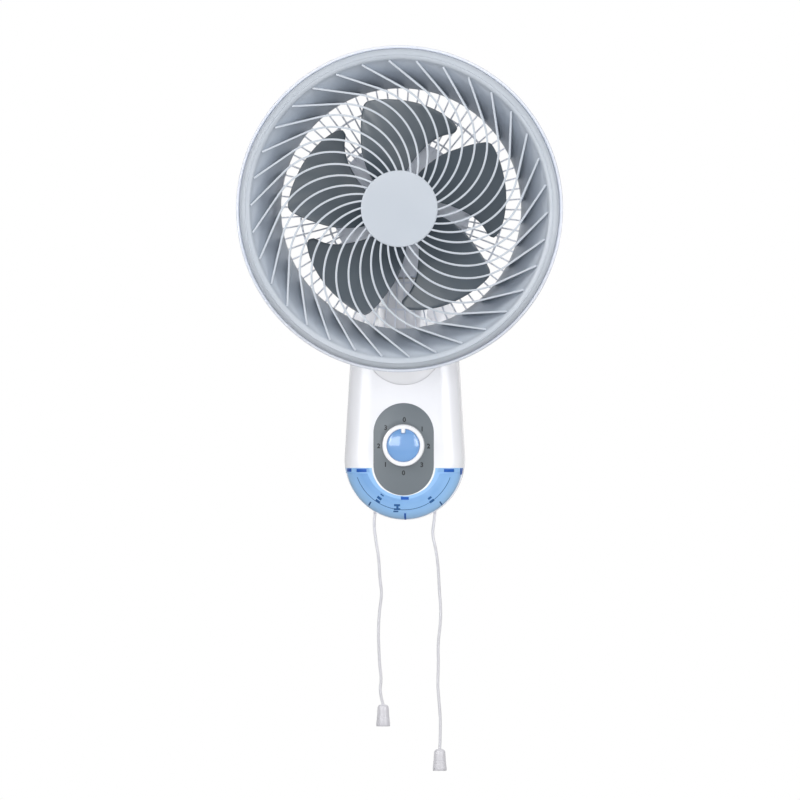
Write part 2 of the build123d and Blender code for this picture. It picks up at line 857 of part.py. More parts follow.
motor_cover.part.label = "motor_cover"
export_step(motor_cover.part, "parts/motor_cover.step")

with BuildPart() as swing_bush:
    with BuildSketch(level(collar_low)):
        with Locations((0, -swing_out)):
            Circle(bush_radius)
            Circle(post_radius + running_gap, mode=Mode.SUBTRACT)
    extrude(amount=15.5)
swing_bush.part.label = "swing_bush"
export_step(swing_bush.part, "parts/swing_bush.step")

shield_radius = cover_radius - cover_wall - 0.4
stator_back, stator_front = 106, 124
stator_radius, rotor_radius = 35, 16.6
leg_circle, leg_radius = 31.5, 2.4
bearing_radius = 9
nose_radius, nose_out = 14, 146
with BuildPart() as motor_front_shield:
    with BuildSketch(fan_front(rear_out)):
        Circle(shield_radius)
        for angle in cover_screw_angles:
            with PolarLocations(60, 1, start_angle=angle):
                Circle(screw_radius, mode=Mode.SUBTRACT)
    extrude(amount=shield_back - rear_out)
    with BuildSketch(fan_front(shield_back)):
        Circle(nose_radius)
    extrude(amount=nose_out - shield_back)
    with BuildSketch(fan_front(stator_front)):
        with PolarLocations(leg_circle, 4, start_angle=45):
            Circle(leg_radius)
    extrude(amount=shield_back - stator_front)
    with BuildSketch(fan_front(stator_front)):
        Circle(bearing_radius)
        with PolarLocations(leg_circle, 4, start_angle=45):
            Circle(screw_radius)
    extrude(amount=nose_out - stator_front, mode=Mode.SUBTRACT)
motor_front_shield.part.label = "motor_front_shield"
export_step(motor_front_shield.part, "parts/motor_front_shield.step")

rear_shield_out = 90
with BuildPart() as motor_rear_shield:
    with BuildSketch(fan_front(rear_shield_out)):
        Circle(stator_radius + 0.5)
    extrude(amount=3)
    with BuildSketch(fan_front(rear_shield_out - 4)):
        Circle(bearing_radius + 3)
    extrude(amount=10)
    with BuildSketch(fan_front(rear_shield_out)):
        with PolarLocations(leg_circle, 4, start_angle=45):
            Circle(leg_radius)
    extrude(amount=stator_back - rear_shield_out)
    with BuildSketch(fan_front(rear_shield_out - 4)):
        Circle(bearing_radius)
        with PolarLocations(leg_circle, 4, start_angle=45):
            Circle(screw_radius)
    extrude(amount=stator_back - rear_shield_out + 4, mode=Mode.SUBTRACT)
motor_rear_shield.part.label = "motor_rear_shield"
export_step(motor_rear_shield.part, "parts/motor_rear_shield.step")

with BuildPart() as motor_screws:
    with BuildSketch(fan_front(rear_shield_out)):
        with PolarLocations(leg_circle, 4, start_angle=45):
            Circle(2.8)
    extrude(amount=-2)
    with BuildSketch(fan_front(rear_shield_out)):
        with PolarLocations(leg_circle, 4, start_angle=45):
            Circle(screw_radius)
    extrude(amount=rear_out - rear_shield_out)
motor_screws.part.label = "motor_screws"
export_step(motor_screws.part, "parts/motor_screws.step")

with BuildPart() as stator_core:
    with BuildSketch(fan_front(stator_back)):
        Circle(stator_radius)
        Circle(rotor_radius + 0.4, mode=Mode.SUBTRACT)
        with PolarLocations(leg_circle, 4, start_angle=45):
            Circle(screw_radius, mode=Mode.SUBTRACT)
    extrude(amount=stator_front - stator_back)
stator_core.part.label = "stator_core"
export_step(stator_core.part, "parts/stator_core.step")

with BuildPart() as stator_windings:
    with BuildSketch(fan_section):
        with Locations((23.5, stator_front + 3.4), (23.5, stator_back - 3.4)):
            RectangleRounded(9.6, 6.8, 2)
    revolve(axis=fan_axis)
stator_windings.part.label = "stator_windings"
export_step(stator_windings.part, "parts/stator_windings.step")

with BuildPart() as front_bearing:
    with BuildSketch(fan_front(rear_out - 2)):
        Circle(bearing_radius)
        Circle(shaft_radius + running_gap, mode=Mode.SUBTRACT)
    extrude(amount=nose_out - rear_out + 2)
front_bearing.part.label = "front_bearing"
export_step(front_bearing.part, "parts/front_bearing.step")

with BuildPart() as rear_bearing:
    with BuildSketch(fan_front(rear_shield_out - 4)):
        Circle(bearing_radius)
        Circle(shaft_radius + running_gap, mode=Mode.SUBTRACT)
    extrude(amount=10)
rear_bearing.part.label = "rear_bearing"
export_step(rear_bearing.part, "parts/rear_bearing.step")

with BuildPart() as cover_screws:
    for angle in cover_screw_angles:
        with BuildSketch(fan_front(rear_out)):
            with PolarLocations(60, 1, start_angle=angle):
                Circle(screw_radius)
        extrude(amount=-14)
cover_screws.part.label = "cover_screws"
export_step(cover_screws.part, "parts/cover_screws.step")

# ---------------------------------------------------------------- rear guard: seventy ribs that turn forward
plate_out = rear_out + 3
rib_out_low, rib_out_high = rear_out, rear_out + 4.5
side_top = 204
corner_radius = 20
corner_sag = corner_radius * (1 - cos(pi / 4))
outer_wall = shell_radius - 2.2


def rear_rib_profile():
    with BuildSketch(fan_section) as profile:
        with BuildLine():
            Line((60, rib_out_low), (shell_radius - corner_radius - 2, rib_out_low))
            ThreePointArc(
                (shell_radius - corner_radius - 2, rib_out_low),
                (shell_radius - 2 - corner_sag, rib_out_low + corner_sag),
                (shell_radius - 2, rib_out_low + corner_radius),
            )
            Line((shell_radius - 2, rib_out_low + corner_radius), (shell_radius - 0.6, side_top))
            Line((shell_radius - 0.6, side_top), (outer_wall - 1.6, side_top))
            Line((outer_wall - 1.6, side_top), (shell_radius - 6, rib_out_low + corner_radius))
            ThreePointArc(
                (shell_radius - 6, rib_out_low + corner_radius),
                (shell_radius - 11.5, rib_out_low + 9.5),
                (shell_radius - corner_radius - 2, rib_out_high),
            )
            Line((shell_radius - corner_radius - 2, rib_out_high), (60, rib_out_high))
            Line((60, rib_out_high), (60, rib_out_low))
        make_face()
    return profile.sketch


with BuildPart() as rear_rib:
    extrude(rear_rib_profile(), amount=rear_rib_width / 2, both=True)

with BuildPart() as rear_guard:
    # the band that the front guard closes on
    with BuildSketch(fan_section):
        with BuildLine():
            Polyline(
                (outer_wall - 2.6, side_top - 2),
                (shell_radius, side_top - 2),
                (shell_radius, rim_out - 9),
                (shell_radius - 2.4, rim_out - 7.2),
                (rim_radius + 0.15, rim_out - 7.8),
                (rim_radius + 0.15, side_top + 2),
                (outer_wall - 2.6, side_top + 2),
                close=True,
            )
        make_face()
    revolve(axis=fan_axis)
    with BuildSketch(fan_front(rear_out)):
        Circle(72)
        Circle(nose_radius + 0.1, mode=Mode.SUBTRACT)
    extrude(amount=3)
    for radius in rear_rings:
        with BuildSketch(fan_front(rib_out_low + 0.5)):
            Circle(radius + 1)
            Circle(radius - 1, mode=Mode.SUBTRACT)
        extrude(amount=3)
    ribs = [rear_rib.part.rotate(fan_axis, 4.5 + k * 360 / rear_ribs) for k in range(rear_ribs)]
    add(ribs)
    with BuildSketch(fan_front(plate_out)):
        Circle(60.5)
    extrude(amount=4, mode=Mode.SUBTRACT)
rear_guard.part.label = "rear_guard"
export_step(rear_guard.part, "parts/rear_guard.step")

with BuildPart() as guard_nut:
    with BuildSketch(fan_front(plate_out)):
        Circle(27)
        Circle(nose_radius + 0.1, mode=Mode.SUBTRACT)
        with PolarLocations(27, 10):
            Circle(2.2, mode=Mode.SUBTRACT)
    extrude(amount=6)
guard_nut.part.label = "guard_nut"
export_step(guard_nut.part, "parts/guard_nut.step")


# ------------------------------------------------------- front guard: spiral ribs, deep vanes, funnel
def rib_outline(out, with_vane):
    # one rib seen from the front: an arc from the disc, then a straight vane tangent to it
    centre_x, centre_y = rib_arc_centre
    end_angle = radians(rib_arc_start + rib_arc_turn)
    along = (-sin(end_angle), cos(end_angle))
    inner, outer = rib_arc_radius - rib_width / 2, rib_arc_radius + rib_width / 2

    def at(radius, angle):
        return (centre_x + radius * cos(angle), centre_y + radius * sin(angle))

    def beyond(radius):
        x, y = at(radius, end_angle)
        return (x + along[0] * vane_length, y + along[1] * vane_length)

    start_angle = radians(rib_arc_start)
    middle_angle = (start_angle + end_angle) / 2
    with BuildSketch() as rib:
        with BuildLine():
            if with_vane:
                Polyline(
                    at(outer, end_angle),
                    beyond(outer),
                    beyond(inner),
                    at(inner, end_angle),
                    close=True,
                )
            else:
                ThreePointArc(at(outer, start_angle), at(outer, middle_angle), at(outer, end_angle))
                Line(at(outer, end_angle), at(inner, end_angle))
                ThreePointArc(at(inner, end_angle), at(inner, middle_angle), at(inner, start_angle))
                Line(at(inner, start_angle), at(outer, start_angle))
        make_face()
    with BuildSketch(fan_front(out)) as outline:
        with PolarLocations(0, rib_count):
            add(rib.sketch)
    return outline.sketch


def funnel_line(start, end):
    # a section line of the funnel that swells towards the air
    run, rise = end[0] - start[0], end[1] - start[1]
    chord = (run**2 + rise**2) ** 0.5
    middle_radius = (start[0] + end[0]) / 2 - funnel_bulge * rise / chord
    middle_out = (start[1] + end[1]) / 2 + funnel_bulge * run / chord
    return ThreePointArc(start, (middle_radius, middle_out), end)


with BuildPart() as front_guard:
    extrude(rib_outline(rib_front, True), amount=throat_out - rib_front)
    # what lies behind the funnel, or outside the rim, is cut from the vanes
    with BuildSketch(fan_section):
        with BuildLine():
            funnel_line((throat_radius + 0.6, throat_out - 2), (bead_radius + 0.6, rib_front - 3))
            Polyline(
                (bead_radius + 0.6, rib_front - 3),
                (bead_radius + 0.6, rib_front + 2),
                (rim_radius + 20, rib_front + 2),
                (rim_radius + 20, throat_out - 2),
                (throat_radius + 0.6, throat_out - 2),
            )
        make_face()
    revolve(axis=fan_axis, mode=Mode.SUBTRACT)
    # throat, funnel and rim, with a fine ridge where the rim's outer edge slopes back
    ridge_foot = rim_out - 0.7
    with BuildSketch(fan_section):
        with BuildLine():
            Line((throat_radius, throat_out - 4), (throat_radius, throat_out))
            funnel_line((throat_radius, throat_out), (bead_radius - 0.5, rib_front - 2))
            ThreePointArc(
                (bead_radius - 0.5, rib_front - 2),
                (bead_radius + 1.3, ridge_foot - 1.1),
                (ridge_radius - 0.9, ridge_foot),
            )
            ThreePointArc(
                (ridge_radius - 0.9, ridge_foot),
                (ridge_radius, rim_out),
                (ridge_radius + 0.9, ridge_foot),
            )
            Polyline(
                (ridge_radius + 0.9, ridge_foot),
                (rim_radius - 0.9, rim_out - 5.4),
                (rim_radius, rim_out - 7.4),
                (rim_radius, side_top + 2),
                (rim_radius - 2, side_top + 2),
                (rim_radius - 2, rim_out - 8),
                (bead_radius + 2.4, rib_front - 3.4),
            )
            funnel_line((throat_radius + 2, throat_out - 1), (bead_radius + 2.4, rib_front - 3.4))
            Polyline(
                (throat_radius + 2, throat_out - 1),
                (throat_radius + 2, throat_out - 4),
                (throat_radius, throat_out - 4),
            )
        make_face()
    revolve(axis=fan_axis)
    extrude(rib_outline(rib_front, False), amount=-rib_depth)
    with BuildSketch(fan_front(rib_front - rib_depth)):
        Circle(disc_radius)
    extrude(amount=rib_depth + 0.6)
front_guard.part.label = "front_guard"
export_step(front_guard.part, "parts/front_guard.step")

# ---------------------------------------------------------------- impeller
hub_back, hub_front = 160, 196
hub_wall, boss_outer = 3.5, 12


def polar(radius, angle):
    return (radius * cos(radians(angle)), radius * sin(radians(angle)))


def blade_strip():
    # a twisted, cambered strip, lofted outwards, that the blade's outline is cut from
    stations = ((18, -14, 60, 168, 206), (66, -42, 64, 163, 206), (124, -68, 66, 164, 207))
    thickness = 2.0
    camber = 5.0
    with BuildPart() as strip:
        for radius, low_side, high_side, low_out, high_out in stations:
            middle_side, middle_out = (low_side + high_side) / 2, (low_out + high_out) / 2 - camber
            with BuildSketch(Plane(origin=(radius, 0, 0), x_dir=(0, 1, 0), z_dir=(1, 0, 0))):
                with BuildLine():
                    ThreePointArc((low_side, low_out), (middle_side, middle_out), (high_side, high_out))
                    Line((high_side, high_out), (high_side, high_out - thickness))
                    ThreePointArc(
                        (high_side, high_out - thickness),
                        (middle_side, middle_out - thickness),
                        (low_side, low_out - thickness),
                    )
                    Line((low_side, low_out - thickness), (low_side, low_out))
                make_face()
        loft()
        # seen from the front the blade has a swept outline with a hooked, blunt far end
        with BuildSketch(Plane.XY.offset(150)) as outline:
            with BuildLine():
                ThreePointArc(polar(24, 58), polar(71, 42), polar(blade_radius, 26.5))
                ThreePointArc(polar(blade_radius, 26.5), polar(113, 4), polar(107.5, -24.5))
                Line(polar(107.5, -24.5), polar(98.5, -28.3))
                ThreePointArc(polar(98.5, -28.3), polar(74, -15.4), polar(24, 16))
                Line(polar(24, 16), polar(24, 58))
            make_face()
            corners = outline.vertices().sort_by(Axis.X)
            fillet(corners[-3:], radius=4)
        extrude(amount=70, mode=Mode.INTERSECT)
    return strip.part


blade = blade_strip()
with BuildPart() as impeller:
    with BuildSketch(fan_section):
        with BuildLine():
            Line((hub_radius - 1, hub_back), (hub_radius, hub_front - 6))
            ThreePointArc(
                (hub_radius, hub_front - 6),
                (hub_radius - 1.8, hub_front - 1.8),
                (hub_radius - 6, hub_front),
            )
            Polyline(
                (hub_radius - 6, hub_front),
                (shaft_radius, hub_front),
                (shaft_radius, hub_back),
                (boss_outer, hub_back),
                (boss_outer, hub_front - hub_wall),
                (hub_radius - hub_wall, hub_front - hub_wall),
                (hub_radius - hub_wall - 0.5, hub_back),
                (hub_radius - 1, hub_back),
            )
        make_face()
    revolve(axis=fan_axis)
    for k in range(blade_count):
        turn = blade_angle + k * 360 / blade_count
        seat = Plane(
            origin=(0, 0, fan_height),
            x_dir=(cos(radians(turn)), 0, sin(radians(turn))),
            z_dir=(0, -1, 0),
        )
        add(seat * blade)
    with BuildSketch(fan_front(hub_back)):
        Rectangle(2 * boss_outer, 3)
    extrude(amount=4, mode=Mode.SUBTRACT)
impeller.part.label = "impeller"
export_step(impeller.part, "parts/impeller.step")

with BuildPart() as motor_shaft:
    with BuildSketch(fan_front(84)):
        Circle(shaft_radius)
    extrude(amount=hub_front + 6 - 84)
    with BuildSketch(across(0)):
        with Locations((hub_back + 2, fan_height)):
            Circle(1.5)
    extrude(amount=11, both=True, mode=Mode.SUBTRACT)
motor_shaft.part.label = "motor_shaft"
export_step(motor_shaft.part, "parts/motor_shaft.step")

with BuildPart() as impeller_pin:
    with BuildSketch(across(0)):
        with Locations((hub_back + 2, fan_height)):
            Circle(1.5)
    extrude(amount=10.5, both=True)
impeller_pin.part.label = "impeller_pin"
export_step(impeller_pin.part, "parts/impeller_pin.step")

with BuildPart() as impeller_nut:
    with BuildSketch(fan_front(hub_front)):
        Circle(12)
    extrude(amount=10)
    fillet(impeller_nut.edges().group_by(Axis.Y)[0], radius=5)
    with BuildSketch(fan_front(hub_front)):
        Circle(shaft_radius)
    extrude(amount=6, mode=Mode.SUBTRACT)
impeller_nut.part.label = "impeller_nut"
export_step(impeller_nut.part, "parts/impeller_nut.step")

with BuildPart() as rotor:
    with BuildSketch(fan_front(stator_back)):
        Circle(rotor_radius)
        Circle(shaft_radius, mode=Mode.SUBTRACT)
    extrude(amount=stator_front - stator_back)
rotor.part.label = "rotor"
export_step(rotor.part, "parts/rotor.step")
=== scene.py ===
import json
import math

import bmesh
import bpy
from mathutils import Matrix, Vector


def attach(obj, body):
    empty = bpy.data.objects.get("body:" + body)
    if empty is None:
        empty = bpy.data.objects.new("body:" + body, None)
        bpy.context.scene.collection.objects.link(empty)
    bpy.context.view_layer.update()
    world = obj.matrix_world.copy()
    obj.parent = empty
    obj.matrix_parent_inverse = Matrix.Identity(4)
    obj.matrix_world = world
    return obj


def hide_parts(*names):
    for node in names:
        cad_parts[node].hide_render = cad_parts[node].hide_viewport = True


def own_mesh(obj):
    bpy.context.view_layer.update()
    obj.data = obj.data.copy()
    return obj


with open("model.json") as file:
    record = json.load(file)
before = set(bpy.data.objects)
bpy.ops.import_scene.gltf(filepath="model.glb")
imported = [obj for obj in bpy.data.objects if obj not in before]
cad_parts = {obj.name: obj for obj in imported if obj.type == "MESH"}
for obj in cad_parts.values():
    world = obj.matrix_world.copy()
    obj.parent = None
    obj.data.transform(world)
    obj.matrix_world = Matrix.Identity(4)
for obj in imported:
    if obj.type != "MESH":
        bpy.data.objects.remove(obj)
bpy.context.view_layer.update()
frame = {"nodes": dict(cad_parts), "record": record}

# Shapes are given in millimetres and made in metres. "out" is the distance from the wall, towards -Y.
mm = 0.001
fanHeight = 200  # the fan's axis
dialHeight = -49  # the knob's axis
fanCentre = (0, 0, fanHeight * mm)


def at(x, out, z):
    return Vector((x * mm, -out * mm, z * mm))


# camera, first, because the cords are checked against its view
cameraSetup = {
    "sideDegrees": 1.7,  # stands a little to the right of the fan, and a little above
    "upDegrees": 0.55,
    "distance": 40.0,
    "viewWidth": 0.84,
    "aim": (-3.8, 66, -1.5),
    "sensorWidth": 36,
    "clipEnd": 100,
}


def addCamera():
    aim = at(*cameraSetup["aim"])
    side, up = math.radians(cameraSetup["sideDegrees"]), math.radians(cameraSetup["upDegrees"])
    back = Vector((math.sin(side), -math.cos(side), math.tan(up))) * cameraSetup["distance"]
    bpy.ops.object.camera_add(location=aim + back, rotation=(math.pi / 2 - up, 0, side))
    camera = bpy.context.object
    camera.name = "photoCamera"
    camera.data.sensor_width = cameraSetup["sensorWidth"]
    camera.data.lens = cameraSetup["sensorWidth"] * cameraSetup["distance"] / cameraSetup["viewWidth"]
    camera.data.clip_end = cameraSetup["clipEnd"]
    bpy.context.scene.camera = camera


addCamera()
print("camera placed")


# materials
def linear(value):
    # one channel of a screen colour, 0 to 255, as a linear value
    value = value / 255
    return value / 12.92 if value <= 0.04045 else ((value + 0.055) / 1.055) ** 2.4


def colourOf(red, green, blue):
    return (linear(red), linear(green), linear(blue), 1)


grainDepth = 0.0002


class Nodes:
    # a small pen for wiring one material
    def __init__(self, name):
        self.material = bpy.data.materials.new(name)
        self.material.use_nodes = True
        self.tree = self.material.node_tree
        self.shader = self.tree.nodes["Principled BSDF"]
        self.place = self.tree.nodes.new("ShaderNodeTexCoord").outputs["Object"]

    def fill(self, node, **inputs):
        for key, value in inputs.items():
            node.inputs[key.replace("_", " ")].default_value = value
        return node

    def add(self, kind, **inputs):
        return self.fill(self.tree.nodes.new(kind), **inputs)

    def join(self, fromSocket, toSocket):
        self.tree.links.new(fromSocket, toSocket)

    def noise(self, scale, detail=3, stretch=None):
        node = self.add("ShaderNodeTexNoise", Scale=scale, Detail=detail)
        if stretch:
            mapping = self.add("ShaderNodeMapping", Scale=stretch)
            self.join(self.place, mapping.inputs["Vector"])
            self.join(mapping.outputs["Vector"], node.inputs["Vector"])
        else:
            self.join(self.place, node.inputs["Vector"])
        return node.outputs["Fac"]

    def rangeOf(self, source, low, high, fromLow=0.3, fromHigh=0.7):
        node = self.add("ShaderNodeMapRange", From_Min=fromLow, From_Max=fromHigh, To_Min=low, To_Max=high)
        self.join(source, node.inputs["Value"])
        return node.outputs["Result"]

    def blend(self, factor, first, second):
        node = self.add("ShaderNodeMix")
        node.data_type = "RGBA"
        self.join(factor, node.inputs["Factor"])
        for socket, value in ((node.inputs[6], first), (node.inputs[7], second)):  # its two colour sockets
            if isinstance(value, tuple):
                socket.default_value = value
            else:
                self.join(value, socket)
        return node.outputs[2]

    def bump(self, source, strength):
        node = self.add("ShaderNodeBump", Strength=strength, Distance=grainDepth)
        self.join(source, node.inputs["Height"])
        self.join(node.outputs["Normal"], self.shader.inputs["Normal"])


plastics = {  # colour, colour it drifts to, roughness, grain scale, grain strength, coat
    "glossWhite": ((243, 244, 248), (238, 239, 244), (0.2, 0.26), 1500, 0.02, 0),
    # painted light: a brighter copy of the white plastic for the neck, standing in for light that the head's
    # shade takes off it
    "neckLightenedWhite": ((252, 253, 255), (248, 249, 253), (0.2, 0.26), 1500, 0.02, 0),
    # painted shade: a bluish copy of the white plastic for the motor cover, standing in for the cool shade
    # inside the head
    "coolShadeTintWhite": ((240, 246, 255), (233, 240, 255), (0.2, 0.28), 1500, 0.02, 0),
    "bellWhite": ((229, 228, 233), (222, 221, 228), (0.25, 0.32), 1500, 0.03, 0),
    # painted shade: a bluish copy of the white plastic for the rear guard, standing in for the cool shade
    # seen through the front guard
    "guardShadeTintWhite": ((239, 243, 252), (233, 238, 250), (0.22, 0.3), 2500, 0.06, 0),
    "guardGrey": ((200, 207, 216), (193, 201, 211), (0.36, 0.44), 3000, 0.1, 0),
    "bladeSlate": ((98, 108, 117), (90, 100, 109), (0.2, 0.27), 1500, 0.03, 0),
    "panelGrey": ((107, 115, 121), (102, 110, 116), (0.42, 0.5), 3500, 0.12, 0),
    "knobWhite": ((243, 243, 246), (236, 237, 241), (0.16, 0.22), 1500, 0.02, 0),
    "capBlue": ((122, 166, 218), (112, 158, 214), (0.08, 0.12), 900, 0.02, 0.5),
    "markBlue": ((22, 88, 178), (16, 76, 164), (0.15, 0.22), 900, 0.03, 0),
    "tickBlue": ((42, 92, 150), (34, 82, 140), (0.15, 0.22), 900, 0.03, 0),
    "lipBlue": ((150, 194, 240), (138, 185, 234), (0.12, 0.18), 900, 0.03, 0),
    "printBlack": ((20, 23, 27), (26, 29, 33), (0.45, 0.55), 2000, 0.1, 0),
    "innerWhite": ((224, 224, 222), (216, 216, 212), (0.4, 0.5), 2500, 0.06, 0),
    "blackPlastic": ((38, 38, 42), (46, 46, 50), (0.45, 0.6), 1800, 0.2, 0),
}
metals = {  # linear colour, colour of its streaks, roughness, stretch and scale of the streaks
    "zincSteel": ((0.62, 0.63, 0.65), (0.52, 0.53, 0.56), (0.28, 0.4), (1, 1, 1), 400),
    "lamination": ((0.34, 0.34, 0.36), (0.24, 0.24, 0.26), (0.4, 0.55), (0.02, 1, 0.02), 2400),
    "dieCast": ((0.66, 0.67, 0.68), (0.58, 0.59, 0.6), (0.42, 0.58), (1, 1, 1), 900),
    "copper": ((0.62, 0.24, 0.1), (0.5, 0.17, 0.07), (0.25, 0.4), (0.02, 1, 0.02), 3000),
    "bronze": ((0.58, 0.4, 0.18), (0.5, 0.34, 0.15), (0.35, 0.5), (1, 1, 1), 900),
}
clearPlastic = {
    # side is painted light: a paler blue for where the cover's side curves back into shade
    "light": (142, 186, 234), "deep": (122, 168, 222), "side": (166, 211, 255), "lip": (162, 206, 246),
    "centreZ": -0.0635, "lipRadius": (0.0365, 0.039), "sidePaintedLightRadius": (0.047, 0.061),
}


def mouldedPlastic(name, colour, shade, rough, grainScale, grain, coat):
    # colour drifts slightly, a fine spark-eroded grain, and roughness that varies with handling
    pen = Nodes(name)
    drift = pen.noise(9, 2)
    tone = pen.blend(pen.rangeOf(drift, 0, 1), colourOf(*colour), colourOf(*shade))
    pen.join(tone, pen.shader.inputs["Base Color"])
    wear = pen.noise(45, 4)
    pen.join(pen.rangeOf(wear, *rough), pen.shader.inputs["Roughness"])
    pen.bump(pen.noise(grainScale, 2), grain)
    pen.fill(pen.shader, IOR=1.49, Coat_Weight=coat, Coat_Roughness=0.08)
    return pen.material


def metal(name, colour, shade, rough, stretch, scale):
    pen = Nodes(name)
    streaks = pen.noise(scale, 4, stretch)
    tone = pen.blend(pen.rangeOf(streaks, 0, 1), (*colour, 1), (*shade, 1))
    pen.join(tone, pen.shader.inputs["Base Color"])
    pen.join(pen.rangeOf(streaks, *rough), pen.shader.inputs["Roughness"])
    pen.bump(streaks, 0.08)
    pen.fill(pen.shader, Metallic=1.0)
    return pen.material


def clearBlue(name):
    # tinted plastic that lets a little light through, paler in the lip; where the side curves back it is
    # painted paler, to stand in for the light it loses there
    pen = Nodes(name)
    fromFoot = pen.add("ShaderNodeMapping", Scale=(1, 0, 1), Location=(0, 0, -clearPlastic["centreZ"]))
    pen.join(pen.place, fromFoot.inputs["Vector"])
    distance = pen.add("ShaderNodeVectorMath")
    distance.operation = "LENGTH"
    pen.join(fromFoot.outputs["Vector"], distance.inputs[0])
    radius = distance.outputs["Value"]
    light, deep, side, lip = (colourOf(*clearPlastic[part]) for part in ("light", "deep", "side", "lip"))
    face = pen.blend(pen.rangeOf(pen.noise(26, 3), 0, 1), light, deep)
    # painted light: the face pales towards the outer band, where the side curves away from the lamps
    turned = pen.blend(pen.rangeOf(radius, 0, 1, *clearPlastic["sidePaintedLightRadius"]), face, side)
    whole = pen.blend(pen.rangeOf(radius, 1, 0, *clearPlastic["lipRadius"]), turned, lip)
    pen.join(whole, pen.shader.inputs["Base Color"])
    pen.join(pen.rangeOf(pen.noise(60, 3), 0.1, 0.16), pen.shader.inputs["Roughness"])
    pen.bump(pen.noise(700, 2), 0.02)
    pen.fill(pen.shader, Transmission_Weight=0.06, IOR=1.3, Coat_Weight=0.1, Coat_Roughness=0.06)
    return pen.material


def braidedCord(name):
    # two sets of threads that wind round the cord, crossed, from its own UV map
    pen = Nodes(name)
    uv = pen.add("ShaderNodeTexCoord").outputs["UV"]
    threads = []
    for slant in (1, -1):
        mapping = pen.add("ShaderNodeMapping", Scale=(90, 3 * slant, 1))
        pen.join(uv, mapping.inputs["Vector"])
        wave = pen.add("ShaderNodeTexWave", Scale=1.0)
        wave.bands_direction = "DIAGONAL"
        pen.join(mapping.outputs["Vector"], wave.inputs["Vector"])
        threads.append(wave.outputs["Fac"])
    crossing = pen.add("ShaderNodeMath")
    crossing.operation = "MAXIMUM"
    pen.join(threads[0], crossing.inputs[0])
    pen.join(threads[1], crossing.inputs[1])
    weave = crossing.outputs["Value"]
    tone = pen.blend(pen.rangeOf(weave, 0, 1, 0.2, 0.9), colourOf(214, 214, 222), colourOf(242, 242, 246))
    pen.join(tone, pen.shader.inputs["Base Color"])
    pen.bump(weave, 0.5)
    pen.fill(pen.shader, Roughness=0.8, Sheen_Weight=0.3)
    return pen.material


materials = {name: mouldedPlastic(name, *kind) for name, kind in plastics.items()}
materials.update({name: metal(name, *kind) for name, kind in metals.items()})
materials["clearBlue"] = clearBlue("clearBlue")
materials["braidedCord"] = braidedCord("braidedCord")
slotMaterials = {
    "white_plastic": "glossWhite", "guard_white": "guardShadeTintWhite", "guard_grey": "guardGrey",
    "blade_slate": "bladeSlate", "panel_grey": "panelGrey", "blue_cover": "clearBlue", "blue_cap": "capBlue",
    "knob_white": "knobWhite", "cord_white": "braidedCord", "inner_white": "innerWhite",
    "black_plastic": "blackPlastic", "zinc_steel": "zincSteel", "lamination": "lamination",
    "copper": "copper", "die_cast": "dieCast", "bearing_bronze": "bronze",
}
for row in frame["record"]["subparts"]:
    node = frame["nodes"][row["node"]]
    node.data.materials.clear()
    node.data.materials.append(materials[slotMaterials[row["material_slot"]]])
print("materials made")


# modelling helpers
def startLine(point):
    # one vertex: a tiny plane merged at its centre
    bpy.ops.object.select_all(action="DESELECT")
    bpy.ops.mesh.primitive_plane_add(size=mm, location=point)
    bpy.ops.object.transform_apply(location=True)
    bpy.ops.object.mode_set(mode="EDIT")
    bpy.ops.mesh.select_all(action="SELECT")
    bpy.ops.mesh.merge(type="CENTER")


def drawLine(points):
    # a line of edges, drawn by extruding its last vertex
    startLine(points[0])
    for before, after in zip(points, points[1:]):
        bpy.ops.mesh.extrude_vertices_move(TRANSFORM_OT_translate={"value": Vector(after) - Vector(before)})


def placeAtOrigin(name):
    bpy.ops.object.mode_set(mode="OBJECT")
    bpy.ops.object.transform_apply(location=True, rotation=True, scale=True)
    piece = bpy.context.object
    piece.name = name
    piece.data.name = name
    return piece


def tidyMesh():
    bpy.ops.mesh.select_all(action="SELECT")
    bpy.ops.mesh.remove_doubles(threshold=0.01 * mm)
    bpy.ops.mesh.normals_make_consistent(inside=False)


def pickFaces(test):
    shape = bmesh.from_edit_mesh(bpy.context.object.data)
    bpy.ops.mesh.select_all(action="DESELECT")
    for face in shape.faces:
        if test(face):
            face.select_set(True)
    bmesh.update_edit_mesh(bpy.context.object.data)


def extrudeBy(x, out, z):
    bpy.ops.mesh.extrude_region_move(TRANSFORM_OT_translate={"value": at(x, out, z)})


def insetBy(width, rise):
    bpy.ops.mesh.inset(thickness=width * mm, depth=rise * mm, use_even_offset=True)


def fillOutline():
    bpy.ops.mesh.select_all(action="SELECT")
    bpy.ops.mesh.edge_face_add()


def selectOnly(piece):
    bpy.ops.object.select_all(action="DESELECT")
    piece.select_set(True)
    bpy.context.view_layer.objects.active = piece


def pickOutline(out):
    # the one many-sided face at this distance from the wall
    pickFaces(lambda found: abs(found.calc_center_median().y + out * mm) < 0.01 * mm and len(found.verts) > 8)


def spinLine(name, points, centre, axis, steps):
    # turns a drawn profile all the way round
    drawLine(points)
    bpy.ops.mesh.select_all(action="SELECT")
    bpy.ops.mesh.spin(steps=steps, angle=math.tau, center=centre, axis=axis)
    tidyMesh()
    return placeAtOrigin(name)


def fanTurned(name, profile, steps):
    # profile in (radius, out) round the fan's axis
    points = [at(radius, out, fanHeight) for radius, out in profile]
    return spinLine(name, points, fanCentre, (0, 1, 0), steps)


def dialTurned(name, profile, steps):
    # profile in (radius, out) round the knob's axis
    points = [at(radius, out, dialHeight) for radius, out in profile]
    return spinLine(name, points, at(0, 0, dialHeight), (0, 1, 0), steps)


